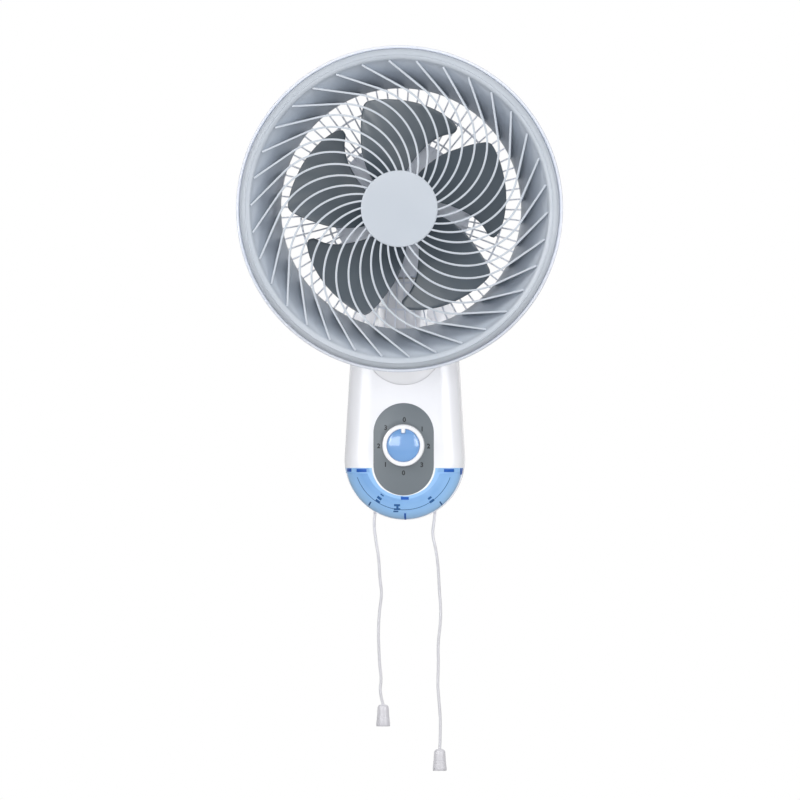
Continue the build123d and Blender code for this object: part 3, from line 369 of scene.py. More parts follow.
def uprightTurned(name, profile, x, out, steps):
    # profile in (radius, height) round an upright axis
    points = [at(x + radius, out, z) for radius, z in profile]
    return spinLine(name, points, at(x, out, 0), (0, 0, 1), steps)


def arc(centre, radius, first, last, count):
    step = (last - first) / count
    angles = [math.radians(first + step * k) for k in range(count + 1)]
    return [(centre[0] + radius * math.cos(angle), centre[1] + radius * math.sin(angle)) for angle in angles]


def applyAll(piece):
    selectOnly(piece)
    for modifier in list(piece.modifiers):
        bpy.ops.object.modifier_apply(modifier=modifier.name)


def bevelEdges(piece, width, segments, angle):
    bevel = piece.modifiers.new("roundedEdges", "BEVEL")
    bevel.width = width * mm
    bevel.segments = segments
    bevel.angle_limit = math.radians(angle)
    applyAll(piece)


def combine(piece, other, operation):
    # cuts, joins or keeps what two closed pieces share, and drops the other one
    tool = piece.modifiers.new("shapeTool", "BOOLEAN")
    tool.operation = operation
    tool.object = other
    tool.solver = "EXACT"
    applyAll(piece)
    bpy.data.objects.remove(other)


def joinPieces(name, pieces):
    selectOnly(pieces[0])
    for piece in pieces[1:]:
        piece.select_set(True)
    bpy.ops.object.join()
    pieces[0].name = name
    pieces[0].data.name = name
    return pieces[0]


def copyOf(piece):
    twin = piece.copy()
    twin.data = piece.data.copy()
    bpy.context.collection.objects.link(twin)
    return twin


def finish(piece, material, body, nodes=(), smooth=32):
    # smooth shading up to an angle, its material, its body and the CAD nodes that it stands for
    selectOnly(piece)
    bpy.ops.object.shade_smooth_by_angle(angle=math.radians(smooth))
    piece.data.materials.clear()
    piece.data.materials.append(materials[material])
    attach(piece, body)
    if nodes:
        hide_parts(*nodes)
    return piece


def prism(name, outline, lowOut, highOut):
    # a closed outline in (x, z), filled and extruded along the depth
    drawLine([at(x, lowOut, z) for x, z in outline])
    fillOutline()
    extrudeBy(0, highOut - lowOut, 0)
    tidyMesh()
    return placeAtOrigin(name)


def slotOutline(x, z, width, height, count):
    # an upright slot with half-round ends
    radius = width / 2
    straight = height / 2 - radius
    return arc((x, z + straight), radius, 0, 180, count) + arc((x, z - straight), radius, 180, 360, count)


# pull cords and their bells
speedCord = {
    "length": 0.2478,
    "route": [
        (31.5, 20.0, -122.0), (30.6, 20.1, -130.5), (28.7, 20.7, -143.0), (32.7, 19.6, -159.0),
        (35.3, 20.4, -180.0), (36.0, 19.5, -200.0), (37.9, 20.3, -222.0), (37.3, 21.0, -238.0),
        (34.7, 20.2, -258.0), (35.3, 19.4, -281.0), (34.3, 20.3, -301.0), (36.1, 20.9, -320.0),
        (37.8, 20.1, -344.0), (36.6, 20.0, -368.7),
    ],
}
swingCord = {
    "length": 0.2015,
    "route": [
        (-31.5, 20.0, -122.0), (-33.0, 20.2, -131.0), (-30.7, 20.8, -149.0), (-27.4, 19.7, -168.4),
        (-26.5, 20.5, -189.0), (-24.1, 19.8, -205.5), (-26.5, 20.3, -221.0), (-28.1, 20.8, -242.5),
        (-27.3, 19.6, -265.8), (-26.5, 20.2, -281.3), (-24.6, 20.7, -296.0), (-26.8, 20.1, -309.0),
        (-22.9, 20.0, -322.0),
    ],
}
cordShape = {"radius": 1.5, "roundness": 4, "steps": 10}
bellShape = {"steps": 48, "mouth": 7.3, "height": 23, "wall": 1.4, "hollow": 6.0}


def tubeAlong(name, kind, route, radius, roundness):
    line = bpy.data.curves.new(name, "CURVE")
    line.dimensions = "3D"
    line.bevel_depth = radius * mm
    line.bevel_resolution = roundness
    line.use_fill_caps = True
    spline = line.splines.new(kind)
    spline.points.add(len(route) - 1)
    for point, place in zip(spline.points, route):
        point.co = (*at(*place), 1)
    piece = bpy.data.objects.new(name, line)
    bpy.context.collection.objects.link(piece)
    return piece


def bellPull(name, route, body, node):
    # a tapered bell with a soft shoulder, two fine rings and a hollow foot
    x, out, z = route[-1]
    mouth, height = bellShape["mouth"], bellShape["height"]
    outer = [(1.0, 0), (2.2, 0)] + arc((2.1, -3.9), 3.85, 86, 8, 7) + [(6.15, -7), (6.35, -10)]
    rings = [(6.45, -12), (6.3, -12.2), (6.35, -12.6), (6.6, -12.8), (6.75, -15), (6.6, -15.2), (6.65, -15.6)]
    foot = [(6.9, -15.8), (mouth, -20.2), (mouth, -22.3), (7.1, -22.8), (6.7, -height)]
    inner = [(mouth - bellShape["wall"], -height), (5.6, -22.6), (5.2, bellShape["hollow"] - height)]
    line = [(0, 0)] + outer + rings + foot + inner + [(0, -16.6)]
    profile = [(radius, z + rise) for radius, rise in line]
    piece = uprightTurned(name, profile, x, out, bellShape["steps"])
    return finish(piece, "bellWhite", body, (node,))


def pullCord(name, cord, body, node):
    piece = tubeAlong(name, "NURBS", cord["route"], cordShape["radius"], cordShape["roundness"])
    piece.data.resolution_u = cordShape["steps"]
    spline = piece.data.splines[0]
    spline.order_u = 3
    spline.use_endpoint_u = True
    piece.data.materials.append(materials["braidedCord"])
    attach(piece, body)
    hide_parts(node)


speedBell = bellPull("speedBell", speedCord["route"], "speed_pull", "speed_bell")
pullCord("speedCord", speedCord, "speed_pull", "speed_cord")
swingBell = bellPull("swingBell", swingCord["route"], "swing_pull", "swing_bell")
pullCord("swingCord", swingCord, "swing_pull", "swing_cord")

# return springs inside the base
returnSpring = {
    "low": -112.5, "high": -92.0, "radius": 2.4, "wire": 0.42, "turns": 9, "stepsATurn": 14, "travel": 12,
}


def springCoil(name, cord, body, node):
    # a coil round the cord inside the base, at its full length; nothing here shortens it towards its slider
    # when the cord is pulled
    x, out, _ = cord["route"][0]
    radius, wire, steps = returnSpring["radius"], returnSpring["wire"], returnSpring["stepsATurn"]
    low, high = returnSpring["low"] + wire, returnSpring["high"] - wire
    count = returnSpring["turns"] * steps
    route = []
    for k in range(count + 1):
        angle, height = math.tau * k / steps, low + (high - low) * k / count
        route.append((x + radius * math.cos(angle), out + radius * math.sin(angle), height))
    selectOnly(tubeAlong(name, "POLY", route, wire, 1))
    bpy.ops.object.convert(target="MESH")
    piece = finish(bpy.context.object, "zincSteel", body, (node,), 60)
    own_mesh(piece)


springCoil("speedSpring", speedCord, "speed_pull", "speed_spring")
springCoil("swingSpring", swingCord, "swing_pull", "swing_spring")
print("pull cords hung")

# front guard
guard = {
    "ribCount": 34, "ribWidth": 2.0, "ribDepth": 5.0, "ribFront": 221.0,
    "arcCentre": (20.4, 68.0), "arcRadius": 71.6, "arcStart": -75.5, "arcTurn": 94.3,
    "vaneLength": 49.0, "throat": (125.8, 158), "mouth": (155.5, 219.0), "bulge": 4, "discRadius": 40.2,
    "vaneSteps": (0.008, 0.06, 0.12, 0.18, 0.24, 0.3, 0.36, 0.42, 0.5, 0.58, 0.68, 0.78, 0.9, 1.0),
    "ringSteps": 180, "discSteps": 120,
}


def throughArc(first, middle, last, count):
    # points of the arc through three points
    (ax, ay), (bx, by), (cx, cy) = first, middle, last
    area = 2 * (ax * (by - cy) + bx * (cy - ay) + cx * (ay - by))
    squares = [x * x + y * y for x, y in (first, middle, last)]
    x = (squares[0] * (by - cy) + squares[1] * (cy - ay) + squares[2] * (ay - by)) / area
    y = (squares[0] * (cx - bx) + squares[1] * (ax - cx) + squares[2] * (bx - ax)) / area
    begin = math.degrees(math.atan2(ay - y, ax - x))
    turn = math.degrees(math.atan2(cy - y, cx - x)) - begin
    turn = (turn + 180) % 360 - 180
    return arc((x, y), math.hypot(ax - x, ay - y), begin, begin + turn, count)


def funnelLine(first, last, count):
    # a section line of the funnel that swells towards the air
    run, rise = last[0] - first[0], last[1] - first[1]
    chord = math.hypot(run, rise)
    middle = (
        (first[0] + last[0]) / 2 - guard["bulge"] * rise / chord,
        (first[1] + last[1]) / 2 + guard["bulge"] * run / chord,
    )
    return throughArc(first, middle, last, count)


def funnelOut(radius):
    # how far out the funnel's face is at this radius
    line = funnelLine(guard["throat"], guard["mouth"], 40)
    for (r0, out0), (r1, out1) in zip(line, line[1:]):
        if radius <= r1:
            return out0 + (out1 - out0) * max(0, radius - r0) / (r1 - r0)
    return line[-1][1]


def spiralRib():
    # a ribbon along one rib, its back edge let down to the funnel where the vane is
    end = math.radians(guard["arcStart"] + guard["arcTurn"])
    path = arc(guard["arcCentre"], guard["arcRadius"], guard["arcStart"], math.degrees(end), 24)
    vaneFrom = len(path)
    along = (-math.sin(end), math.cos(end))
    lastX, lastY = path[-1]
    for share in guard["vaneSteps"]:
        run = guard["vaneLength"] * share
        path.append((lastX + along[0] * run, lastY + along[1] * run))
    front = guard["ribFront"]
    drawLine([at(x, front, fanHeight + y) for x, y in path])
    bpy.ops.mesh.select_all(action="SELECT")
    extrudeBy(0, -guard["ribDepth"], 0)
    piece = placeAtOrigin("spiralRib")
    vane = path[vaneFrom:]
    for vertex in piece.data.vertices:
        if vertex.co.y < -(front - 1) * mm:
            continue
        for x, y in vane:
            if abs(vertex.co.x - x * mm) + abs(vertex.co.z - (fanHeight + y) * mm) < 0.01 * mm:
                vertex.co.y = -max(funnelOut(math.hypot(x, y)) - 1.0, guard["throat"][1] - 2) * mm
    thick = piece.modifiers.new("ribThickness", "SOLIDIFY")
    thick.thickness = guard["ribWidth"] * mm
    thick.offset = 0
    applyAll(piece)
    bevelEdges(piece, 0.45, 2, 50)
    return piece


def turnRoundFan(piece, angle):
    centre = Matrix.Translation(fanCentre)
    piece.data.transform(centre @ Matrix.Rotation(angle, 4, "Y") @ centre.inverted())


def turnedCopies(piece, count, name):
    # copies round the fan's axis, joined into one mesh
    copies = [piece]
    for k in range(1, count):
        twin = copyOf(piece)
        turnRoundFan(twin, math.tau * k / count)
        copies.append(twin)
    return joinPieces(name, copies)


def frontGuard():
    ribs = turnedCopies(spiralRib(), guard["ribCount"], "ribs")
    throat, mouth = guard["throat"], guard["mouth"]
    back = throat[1] - 4
    funnel = [(throat[0], back)] + funnelLine(throat, mouth, 16)
    lip = throughArc(mouth, (157.3, 222.2), (160.6, 223.3), 6)[1:]
    ridge = throughArc((160.75, 223.3), (161.5, 224.0), (162.25, 223.3), 6)
    slope = throughArc((162.4, 223.2), (165.9, 220.7), (167.5, 216.4), 8) + [(167.5, 206)]
    behind = funnelLine((throat[0] + 2, throat[1] - 1), (158.4, 217.6), 8)
    inside = [(165.5, 206), (165.5, 216)] + behind[::-1]
    outline = funnel + lip + ridge + slope + inside + [(throat[0] + 2, back), (throat[0], back)]
    ring = fanTurned("ring", outline, guard["ringSteps"])
    edge = guard["discRadius"]
    discBack, discFront = [(0, 216), (edge - 0.6, 216), (edge, 216.6)], [(37, 221.5), (0, 221.45)]
    disc = fanTurned("disc", discBack + arc((edge - 1, 220.6), 1.0, 0, 90, 5) + discFront, guard["discSteps"])
    piece = joinPieces("frontGuard", [ring, ribs, disc])
    return finish(piece, "guardGrey", "head", ("front_guard",), 40)


frontGuard()
print("front guard made")

# rear guard
rearGuardShape = {
    "ribCount": 70, "ribThickness": 1.6, "firstAngle": 4.5, "rings": (78, 106, 134), "back": 136.0,
    "ringOuts": (136.4, 139.6), "plateHole": 14.2, "plateRadius": 72, "plateThickness": 3,
}


def rearRib():
    back = rearGuardShape["back"]
    outer = [(66, back), (149, back)] + arc((149, back + 20), 20, -80, 0, 8) + [(170.4, 204), (167.2, 204)]
    inner = [(165, back + 20)] + arc((149, back + 20), 15.7, -10, -80, 6)
    inner += [(149, back + 4.3), (66, back + 4.3)]
    drawLine([at(radius, out, fanHeight) for radius, out in outer + inner])
    fillOutline()
    thickness = rearGuardShape["ribThickness"]
    bpy.ops.transform.translate(value=at(0, 0, -thickness / 2))
    extrudeBy(0, 0, thickness)
    tidyMesh()
    piece = placeAtOrigin("rearRib")
    bevelEdges(piece, 0.3, 2, 60)
    turnRoundFan(piece, -math.radians(rearGuardShape["firstAngle"]))
    return piece


def rearGuard():
    ribs = turnedCopies(rearRib(), rearGuardShape["ribCount"], "rearRibs")
    bandBack = [(166.4, 202.3), (166.9, 202), (170.7, 202), (171, 202.4)]
    bandInside = [(167.75, 215.6), (167.75, 206.2), (166.4, 206), (166.4, 202.3)]
    band = fanTurned("band", bandBack + arc((169.4, 215.2), 1.6, 0, 150, 6) + bandInside, guard["ringSteps"])
    hole, edge, back = rearGuardShape["plateHole"], rearGuardShape["plateRadius"], rearGuardShape["back"]
    front = back + rearGuardShape["plateThickness"]
    plateLine = [(hole, back), (edge - 0.6, back), (edge, back + 0.6), (edge, front - 0.6)]
    plateLine += [(edge - 0.6, front), (hole, front), (hole, back)]
    plate = fanTurned("plate", plateLine, guard["discSteps"])
    rings = []
    low, high = rearGuardShape["ringOuts"]
    for middle in rearGuardShape["rings"]:
        corners = ((-1, low + 0.4), (-0.6, low), (0.6, low), (1, low + 0.4))
        corners += ((1, high - 0.4), (0.6, high), (-0.6, high), (-1, high - 0.4), (-1, low + 0.4))
        loop = [(middle + side, out) for side, out in corners]
        rings.append(fanTurned("guardRing", loop, guard["discSteps"]))
    piece = joinPieces("rearGuard", [band, ribs, plate, *rings])
    return finish(piece, "guardShadeTintWhite", "head", ("rear_guard",), 40)


rearGuard()
print("rear guard made")

# impeller
impellerShape = {"bladeCount": 5, "firstAngle": -62.1, "thickness": 2.0, "camber": 5.0, "steps": (30, 26)}
bladeStations = ((18, -14, 60, 168, 206), (66, -42, 64, 163, 206), (124, -68, 66, 164, 207))  # x, sides, outs
bladeEdges = {  # radius and degrees along each edge of one blade
    "leading": ((24, 58), (45, 51.0), (71, 42), (96, 33.2), (110, 28.9), (114.5, 27.4), (117, 25.5)),
    "trailing": (
        (24, 16), (48, -4.5), (62, -10.8), (74, -15.4), (86, -20.8), (93.5, -25.4), (97, -27.2),
        (102.2, -27.2),
    ),
    "tip": (
        (102.2, -27.2), (105.3, -24.6), (107.0, -21.0), (109, -14.6), (111.2, -5), (113, 4), (115.3, 14),
        (117.2, 22.3), (117, 25.5),
    ),
}


def polarPoint(radius, degrees):
    return Vector((radius * math.cos(math.radians(degrees)), radius * math.sin(math.radians(degrees))))


def edgePoint(name, share):
    # a point along one edge of the blade, by length, smoothed between its marks
    marks = [polarPoint(*mark) for mark in bladeEdges[name]]
    lengths = [(after - before).length for before, after in zip(marks, marks[1:])]
    distance = share * sum(lengths)
    for k, length in enumerate(lengths):
        if distance <= length or k == len(lengths) - 1:
            break
        distance -= length
    t = min(1, distance / length)
    before, after = marks[max(0, k - 1)], marks[min(len(marks) - 1, k + 2)]
    first, last = marks[k], marks[k + 1]
    return (
        first * 2 + (last - before) * t + (before * 2 - first * 5 + last * 4 - after) * t**2
        + (first * 3 - before - last * 3 + after) * t**3
    ) / 2


def bladeOut(x, side):
    # the twisted strip that the blade is cut from
    lower, upper = (0, 1) if x < bladeStations[1][0] else (1, 2)
    first, second = bladeStations[lower], bladeStations[upper]
    share = (x - first[0]) / (second[0] - first[0])
    lowSide, highSide, lowOut, highOut = (a + (b - a) * share for a, b in zip(first[1:], second[1:]))
    across = (side - lowSide) / (highSide - lowSide)
    return lowOut + (highOut - lowOut) * across - impellerShape["camber"] * 4 * across * (1 - across)


def bladePlace(along, across):
    # along runs from hub to tip, across from the trailing to the leading edge
    leading, trailing = edgePoint("leading", along), edgePoint("trailing", along)
    tip = edgePoint("tip", across)
    tipChord = polarPoint(*bladeEdges["tip"][0]).lerp(polarPoint(*bladeEdges["tip"][-1]), across)
    return trailing.lerp(leading, across) + (tip - tipChord) * along


def fanBlade():
    # a grid shaped to the blade's outline and twist, then given a thickness
    bpy.ops.object.select_all(action="DESELECT")
    alongSteps, acrossSteps = impellerShape["steps"]
    bpy.ops.mesh.primitive_grid_add(x_subdivisions=alongSteps, y_subdivisions=acrossSteps, size=1)
    piece = placeAtOrigin("fanBlade")
    for vertex in piece.data.vertices:
        along, across = vertex.co.x + 0.5, vertex.co.y + 0.5
        x, side = bladePlace(along, across)
        vertex.co = at(x, bladeOut(x, side) - impellerShape["thickness"] / 2, fanHeight + side)
    thick = piece.modifiers.new("bladeThickness", "SOLIDIFY")
    thick.thickness = impellerShape["thickness"] * mm
    thick.offset = 0
    applyAll(piece)
    bevelEdges(piece, 0.6, 2, 60)
    turnRoundFan(piece, -math.radians(impellerShape["firstAngle"]))
    bpy.ops.object.mode_set(mode="EDIT")
    tidyMesh()
    bpy.ops.object.mode_set(mode="OBJECT")
    return piece


def impeller():
    blades = turnedCopies(fanBlade(), impellerShape["bladeCount"], "blades")
    bore = [(4.1, 196), (4.1, 160), (12, 160)]
    inside = [(12, 192), (22, 192), (21.5, 160), (25, 160)]
    hub = fanTurned("hub", [(25, 160)] + arc((20, 190), 6, 0, 90, 6) + bore + inside, 96)
    piece = joinPieces("fanBlades", [hub, blades])
    finish(piece, "bladeSlate", "impeller", ("impeller",), 40)
    spinnerBack = [(0, 196.2), (11.6, 196.2), (12, 196.8)]
    spinner = fanTurned("spinner", spinnerBack + arc((7, 200.8), 5, 0, 90, 7) + [(0, 206)], 48)
    finish(spinner, "glossWhite", "impeller", ("impeller_nut",))


impeller()
print("impeller made")

# motor cover
coverShape = {
    "slots": 16, "firstSlot": 11.25, "slotSize": (3, 22), "slotCircle": 38,
    "collarRadius": 27, "collarBore": 9.1, "collarOut": 104, "collarHeights": (127.6, 143),
}


def motorCover():
    outside = [(0, 66), (15, 66.5), (30, 67.5)] + arc((31, 106.5), 38.6, -84, -12, 12)
    inside = [(67.5, 136), (67.1, 121)] + arc((31, 106.5), 36.1, -10, -84, 12) + [(30, 70), (0, 68.6)]
    shell = fanTurned("coverShell", outside + [(69.6, 120), (70, 136)] + inside, 120)
    cutters = []
    for k in range(coverShape["slots"]):
        angle = math.radians(coverShape["firstSlot"] + k * 360 / coverShape["slots"])
        cos, sin = math.cos(angle), math.sin(angle)
        turned = []
        for side, rise in slotOutline(0, 0, *coverShape["slotSize"], 6):
            radial = coverShape["slotCircle"] + rise
            turned.append((radial * cos - side * sin, fanHeight + radial * sin + side * cos))
        cutters.append(prism("ventCutter", turned, 58, 86))
    combine(shell, joinPieces("ventCutters", cutters), "DIFFERENCE")
    bore, edge = coverShape["collarBore"], coverShape["collarRadius"]
    low, high = coverShape["collarHeights"]
    line = [(bore, low), (edge - 0.6, low), (edge, low + 0.6), (edge, high), (bore, high), (bore, low)]
    collar = uprightTurned("collar", line, 0, coverShape["collarOut"], 72)
    piece = joinPieces("motorCover", [shell, collar])
    finish(piece, "coolShadeTintWhite", "head", ("motor_cover",))


motorCover()
print("motor cover made")

# neck
neckShape = {
    "radius": 26, "top": 126, "swingOut": 104, "elbow": 28, "elbowZ": 85, "reach": 22,
    "ball": 44, "ballWall": 4, "ballGap": 0.5, "ballCentre": (0, 48, 55), "ballBack": 40, "cutSize": 200,
}


def neckBall(name, radius, segments, rings):
    # a sphere round the middle of the neck's ball
    place = at(*neckShape["ballCentre"])
    bpy.ops.mesh.primitive_uv_sphere_add(
        segments=segments, ring_count=rings, radius=radius * mm, location=place,
    )
    return placeAtOrigin(name)


def neck():
    swingOut, top, elbowZ = neckShape["swingOut"], neckShape["top"], neckShape["elbowZ"]
    radius, start = neckShape["radius"] * mm, at(0, swingOut, top)
    bpy.ops.object.select_all(action="DESELECT")
    bpy.ops.mesh.primitive_circle_add(vertices=72, radius=radius, fill_type="NGON", location=start)
    bpy.ops.object.mode_set(mode="EDIT")
    bpy.ops.mesh.select_all(action="SELECT")
    extrudeBy(0, 0, elbowZ - top)
    elbowCentre = at(0, swingOut - neckShape["elbow"], elbowZ)
    bpy.ops.mesh.spin(steps=16, angle=-math.pi / 2, center=elbowCentre, axis=(1, 0, 0))
    extrudeBy(0, -neckShape["reach"], 0)
    tidyMesh()
    tube = placeAtOrigin("neckTube")
    ball = neckBall("neckBall", neckShape["ball"], 96, 64)
    combine(ball, tube, "UNION")
    combine(ball, neckBall("hollow", neckShape["ball"] - neckShape["ballWall"], 72, 48), "DIFFERENCE")
    block, (x, _, z) = neckShape["cutSize"], neckShape["ballCentre"]
    bpy.ops.mesh.primitive_cube_add(size=block * mm, location=at(x, neckShape["ballBack"] - block / 2, z))
    combine(ball, placeAtOrigin("backCut"), "DIFFERENCE")
    finish(ball, "neckLightenedWhite", "neck", ("neck_housing",))
    ball.name = "neckHousing"


neck()
print("neck made")

# base
baseShape = {
    "bottomRadius": 62.8, "bottomZ": -65, "taper": 3.4, "top": 110, "topRound": 28, "backGap": 0.5,
    "split": 30, "face": 66, "edgeRound": 24, "wall": 2.4, "panelZ": -53.2, "panel": (63.5, 97.1),
    "surround": 1.8, "coverTop": -72.9, "lip": 3.6, "seat": 64.8, "edgeSteps": 14,
}


def baseOutline():
    # clockwise from the lower left, seen from the front
    radius, taper = baseShape["bottomRadius"], math.radians(baseShape["taper"])
    footX, footZ = radius * math.cos(taper), baseShape["bottomZ"] + radius * math.sin(taper)
    top, corner = baseShape["top"], baseShape["topRound"]
    turn = math.pi / 2 - taper
    sideX = footX - (top - footZ) * math.tan(taper)
    reach = corner * math.tan(turn / 2)
    centreX = sideX - reach
    bottom = arc((0, baseShape["bottomZ"]), radius, 180 - baseShape["taper"], 360 + baseShape["taper"], 64)
    right = arc((centreX, top - corner), corner, baseShape["taper"], 90, 14)
    left = [(-x, z) for x, z in reversed(right)]
    return bottom + right + left


def baseBlock(name, inset, fromOut):
    # the outline extruded to where the edge starts to turn, then inset step by step round the edge
    edgeRound, face = baseShape["edgeRound"] - inset, baseShape["face"] - inset
    drawLine([at(x, fromOut, z) for x, z in baseOutline()])
    fillOutline()
    if inset:
        insetBy(inset, 0)
        bpy.ops.mesh.select_all(action="INVERT")
        bpy.ops.mesh.delete(type="FACE")
        bpy.ops.mesh.select_all(action="SELECT")
    extrudeBy(0, face - edgeRound - fromOut, 0)
    pickOutline(face - edgeRound)
    steps = baseShape["edgeSteps"]
    for k in range(steps):
        before, after = (math.radians(90 * (k + j) / steps) for j in (0, 1))
        width, rise = math.cos(before) - math.cos(after), math.sin(after) - math.sin(before)
        insetBy(edgeRound * width, edgeRound * rise)
    tidyMesh()
    return placeAtOrigin(name)


def coverCutter(name, top, grow, fromOut):
    # all below a level line, apart from the panel and its white border
    width, height = baseShape["panel"]
    block = prism(name, [(-80, top), (-80, -140), (80, -140), (80, top)], fromOut, 70)
    outline = slotOutline(0, baseShape["panelZ"], width + 2 * grow, height + 2 * grow, 40)
    combine(block, prism("panelCutter", outline, fromOut - 1, 72), "DIFFERENCE")
    return block


def frontShell():
    shell = baseBlock("frontShell", 0, baseShape["split"])
    # known fault: this cut leaves the shell solid, and takes a groove from its outside near the split
    combine(shell, baseBlock("inside", baseShape["wall"], baseShape["split"] - 2), "DIFFERENCE")
    lower = copyOf(shell)
    combine(shell, coverCutter("cover", baseShape["coverTop"], baseShape["surround"], 20), "DIFFERENCE")
    combine(shell, neckBall("ballCutter", neckShape["ball"] + neckShape["ballGap"], 128, 96), "DIFFERENCE")
    seatLine = slotOutline(0, baseShape["panelZ"], *baseShape["panel"], 40)
    combine(shell, prism("seat", seatLine, baseShape["seat"], 70), "DIFFERENCE")
    finish(shell, "glossWhite", "base", ("base_front_shell",), 30)
    # the clear blue cover, stepped down inside its raised lip
    combine(lower, coverCutter("cover", baseShape["coverTop"], baseShape["surround"], 20), "INTERSECT")
    grow = baseShape["surround"] + baseShape["lip"]
    waste = coverCutter("waste", baseShape["coverTop"] - 5.8, grow, baseShape["split"] + 4)
    combine(waste, baseBlock("kept", 0.8, baseShape["split"] + 2), "DIFFERENCE")
    combine(lower, waste, "DIFFERENCE")
    lower.name = "lowerCover"
    finish(lower, "clearBlue", "base", ("lower_cover",), 30)


# outlines in (x, z): the raised lip round the panel, the ledge under the top edge, small dark marks, and a
# line of painted shade along a crease
coverDetails = {
    "reach": (24, 70),  # the outs between which each outline cuts
    "skin": 0.5,
    "lip": [(-35.6, -77.4), *arc((0, -65.05), 37.2, 198, 342, 40), (35.6, -77.4), (38.2, -77.4)]
    + arc((0, -65.05), 40.4, -18, -162, 44) + [(-38.2, -77.4)],
    "ledges": ((-60.5, -78.6, -38.3, -77.4), (38.3, -78.6, 60.5, -77.4)),
    "slots": ((-49.5, -77.2, -39.0, -73.9), (42.4, -77.2, 52.9, -73.9), (-2.9, -106.2, 5.4, -103.0)),
    "corners": ((-60.0, -77.0, -55.0, -73.4), (59.0, -80.0, 62.0, -73.4), (0.4, -127.4, 2.2, -120.6)),
    "ticks": (  # middle, size and tilt of each short bar
        ((-25.5, -104.6), (5.2, 2.6), -38), ((-27.2, -107.8), (5.2, 2.2), -38),
        ((-22.6, -101.4), (4.0, 1.2), -38), ((-7.0, -112.0), (6.3, 2.2), 0),
        ((-7.0, -116.2), (6.8, 1.8), 0), ((-8.4, -118.6), (5.2, 1.5), 0),
        ((-6.6, -114.2), (2.2, 2.0), 0), ((27.4, -104.4), (4.2, 2.2), 36),
        ((29.6, -107.6), (5.4, 2.4), 36), ((-35.9, -110.6), (4.6, 1.5), 58),
        ((38.9, -110.2), (4.6, 1.5), -58),
    ),
    # a painted shade line where the cover's surface creases
    "paintedCreaseShade": (51.9, 0.55, -160, -20),  # radius, width, first and last angle
}


def bars(name, boxes):
    pieces = [
        prism(name, [(x0, z0), (x1, z0), (x1, z1), (x0, z1)], *coverDetails["reach"])
        for x0, z0, x1, z1 in boxes
    ]
    return joinPieces(name, pieces)


def tiltedBars(name, rows):
    pieces = []
    for (x, z), (width, height), tilt in rows:
        cos, sin = math.cos(math.radians(tilt)), math.sin(math.radians(tilt))
        corners = [(a * width / 2, b * height / 2) for a, b in ((-1, -1), (1, -1), (1, 1), (-1, 1))]
        outline = [(x + u * cos - v * sin, z + u * sin + v * cos) for u, v in corners]
        pieces.append(prism(name, outline, *coverDetails["reach"]))
    return joinPieces(name, pieces)


def coverSkin(name, cutter, proud, inset):
    # the part of the cover's face inside an outline, raised a hair; known fault: it stays solid behind
    skin = baseBlock(name, inset, baseShape["split"] + 3)
    inside = baseBlock("skinInside", inset + coverDetails["skin"], baseShape["split"] + 1)
    combine(skin, inside, "DIFFERENCE")
    combine(skin, cutter, "INTERSECT")
    bpy.ops.object.mode_set(mode="EDIT")
    bpy.ops.mesh.select_all(action="SELECT")
    bpy.ops.transform.shrink_fatten(value=proud * mm)
    bpy.ops.object.mode_set(mode="OBJECT")
    return skin


def coverMarks():
    details, reach = coverDetails, coverDetails["reach"]
    lip = coverSkin("coverLip", prism("lipArea", details["lip"], *reach), 0.06, 0)
    ledges = coverSkin("coverLedges", bars("ledgeArea", details["ledges"]), 0.06, 0)
    finish(joinPieces("coverLip", [lip, ledges]), "lipBlue", "base")
    slots = coverSkin("coverSlots", bars("slotArea", details["slots"]), 0.09, 0)
    corners = coverSkin("coverCorners", bars("cornerArea", details["corners"]), 0.09, 0)
    finish(joinPieces("coverSlots", [slots, corners]), "markBlue", "base")
    radius, width, first, last = details["paintedCreaseShade"]
    inner, outer = radius - width / 2, radius + width / 2
    centre = (0, baseShape["bottomZ"])
    ring = arc(centre, outer, first, last, 60) + arc(centre, inner, last, first, 60)
    ticks = coverSkin("coverTicks", tiltedBars("tickArea", details["ticks"]), 0.06, 0.8)
    # painted shade: a thin dark-blue band laid along the crease, as the shade line the crease would show
    paintedCreaseShade = coverSkin("coverCreaseShade", prism("creaseArea", ring, *reach), 0.06, 0.8)
    finish(joinPieces("coverTicks", [ticks, paintedCreaseShade]), "tickBlue", "base")


rearShape = {  # width and rise of each step inwards
    "edge": ((0.4, 0.85), (0.8, 0.35)),
    "plate": ((1.2, 0), (0.1, -2.5)),  # the sunk back
    "opening": ((4.2, 0), (0.3, -14)),  # the rim of the open front, and room for the tilting neck
}


def rearShell():
    back, front = baseShape["backGap"] + 1.2, baseShape["split"] - 0.2
    drawLine([at(x, back, z) for x, z in baseOutline()])
    fillOutline()
    extrudeBy(0, front - back, 0)
    pickOutline(back)
    for width, rise in rearShape["edge"] + rearShape["plate"]:
        insetBy(width, rise)
    pickOutline(front)
    for width, rise in rearShape["opening"]:
        insetBy(width, rise)
    tidyMesh()
    piece = placeAtOrigin("rearShell")
    return finish(piece, "glossWhite", "base", ("base_rear_shell",), 30)


frontShell()
coverMarks()
rearShell()
print("base made")

# dial panel and knob
panelShape = {
    "front": 66.3, "numberSize": 6.7, "numberZ": -48.75,
    "numbers": (
        ("0", 0.7, 26.4), ("1", 19.4, 16.6), ("2", 26.2, -1.4), ("3", 19.2, -21.0),
        ("0", -0.1, -29.5), ("1", -19.1, -20.7), ("2", -26.2, -1.2), ("3", -18.8, 18.0),
    ),
}


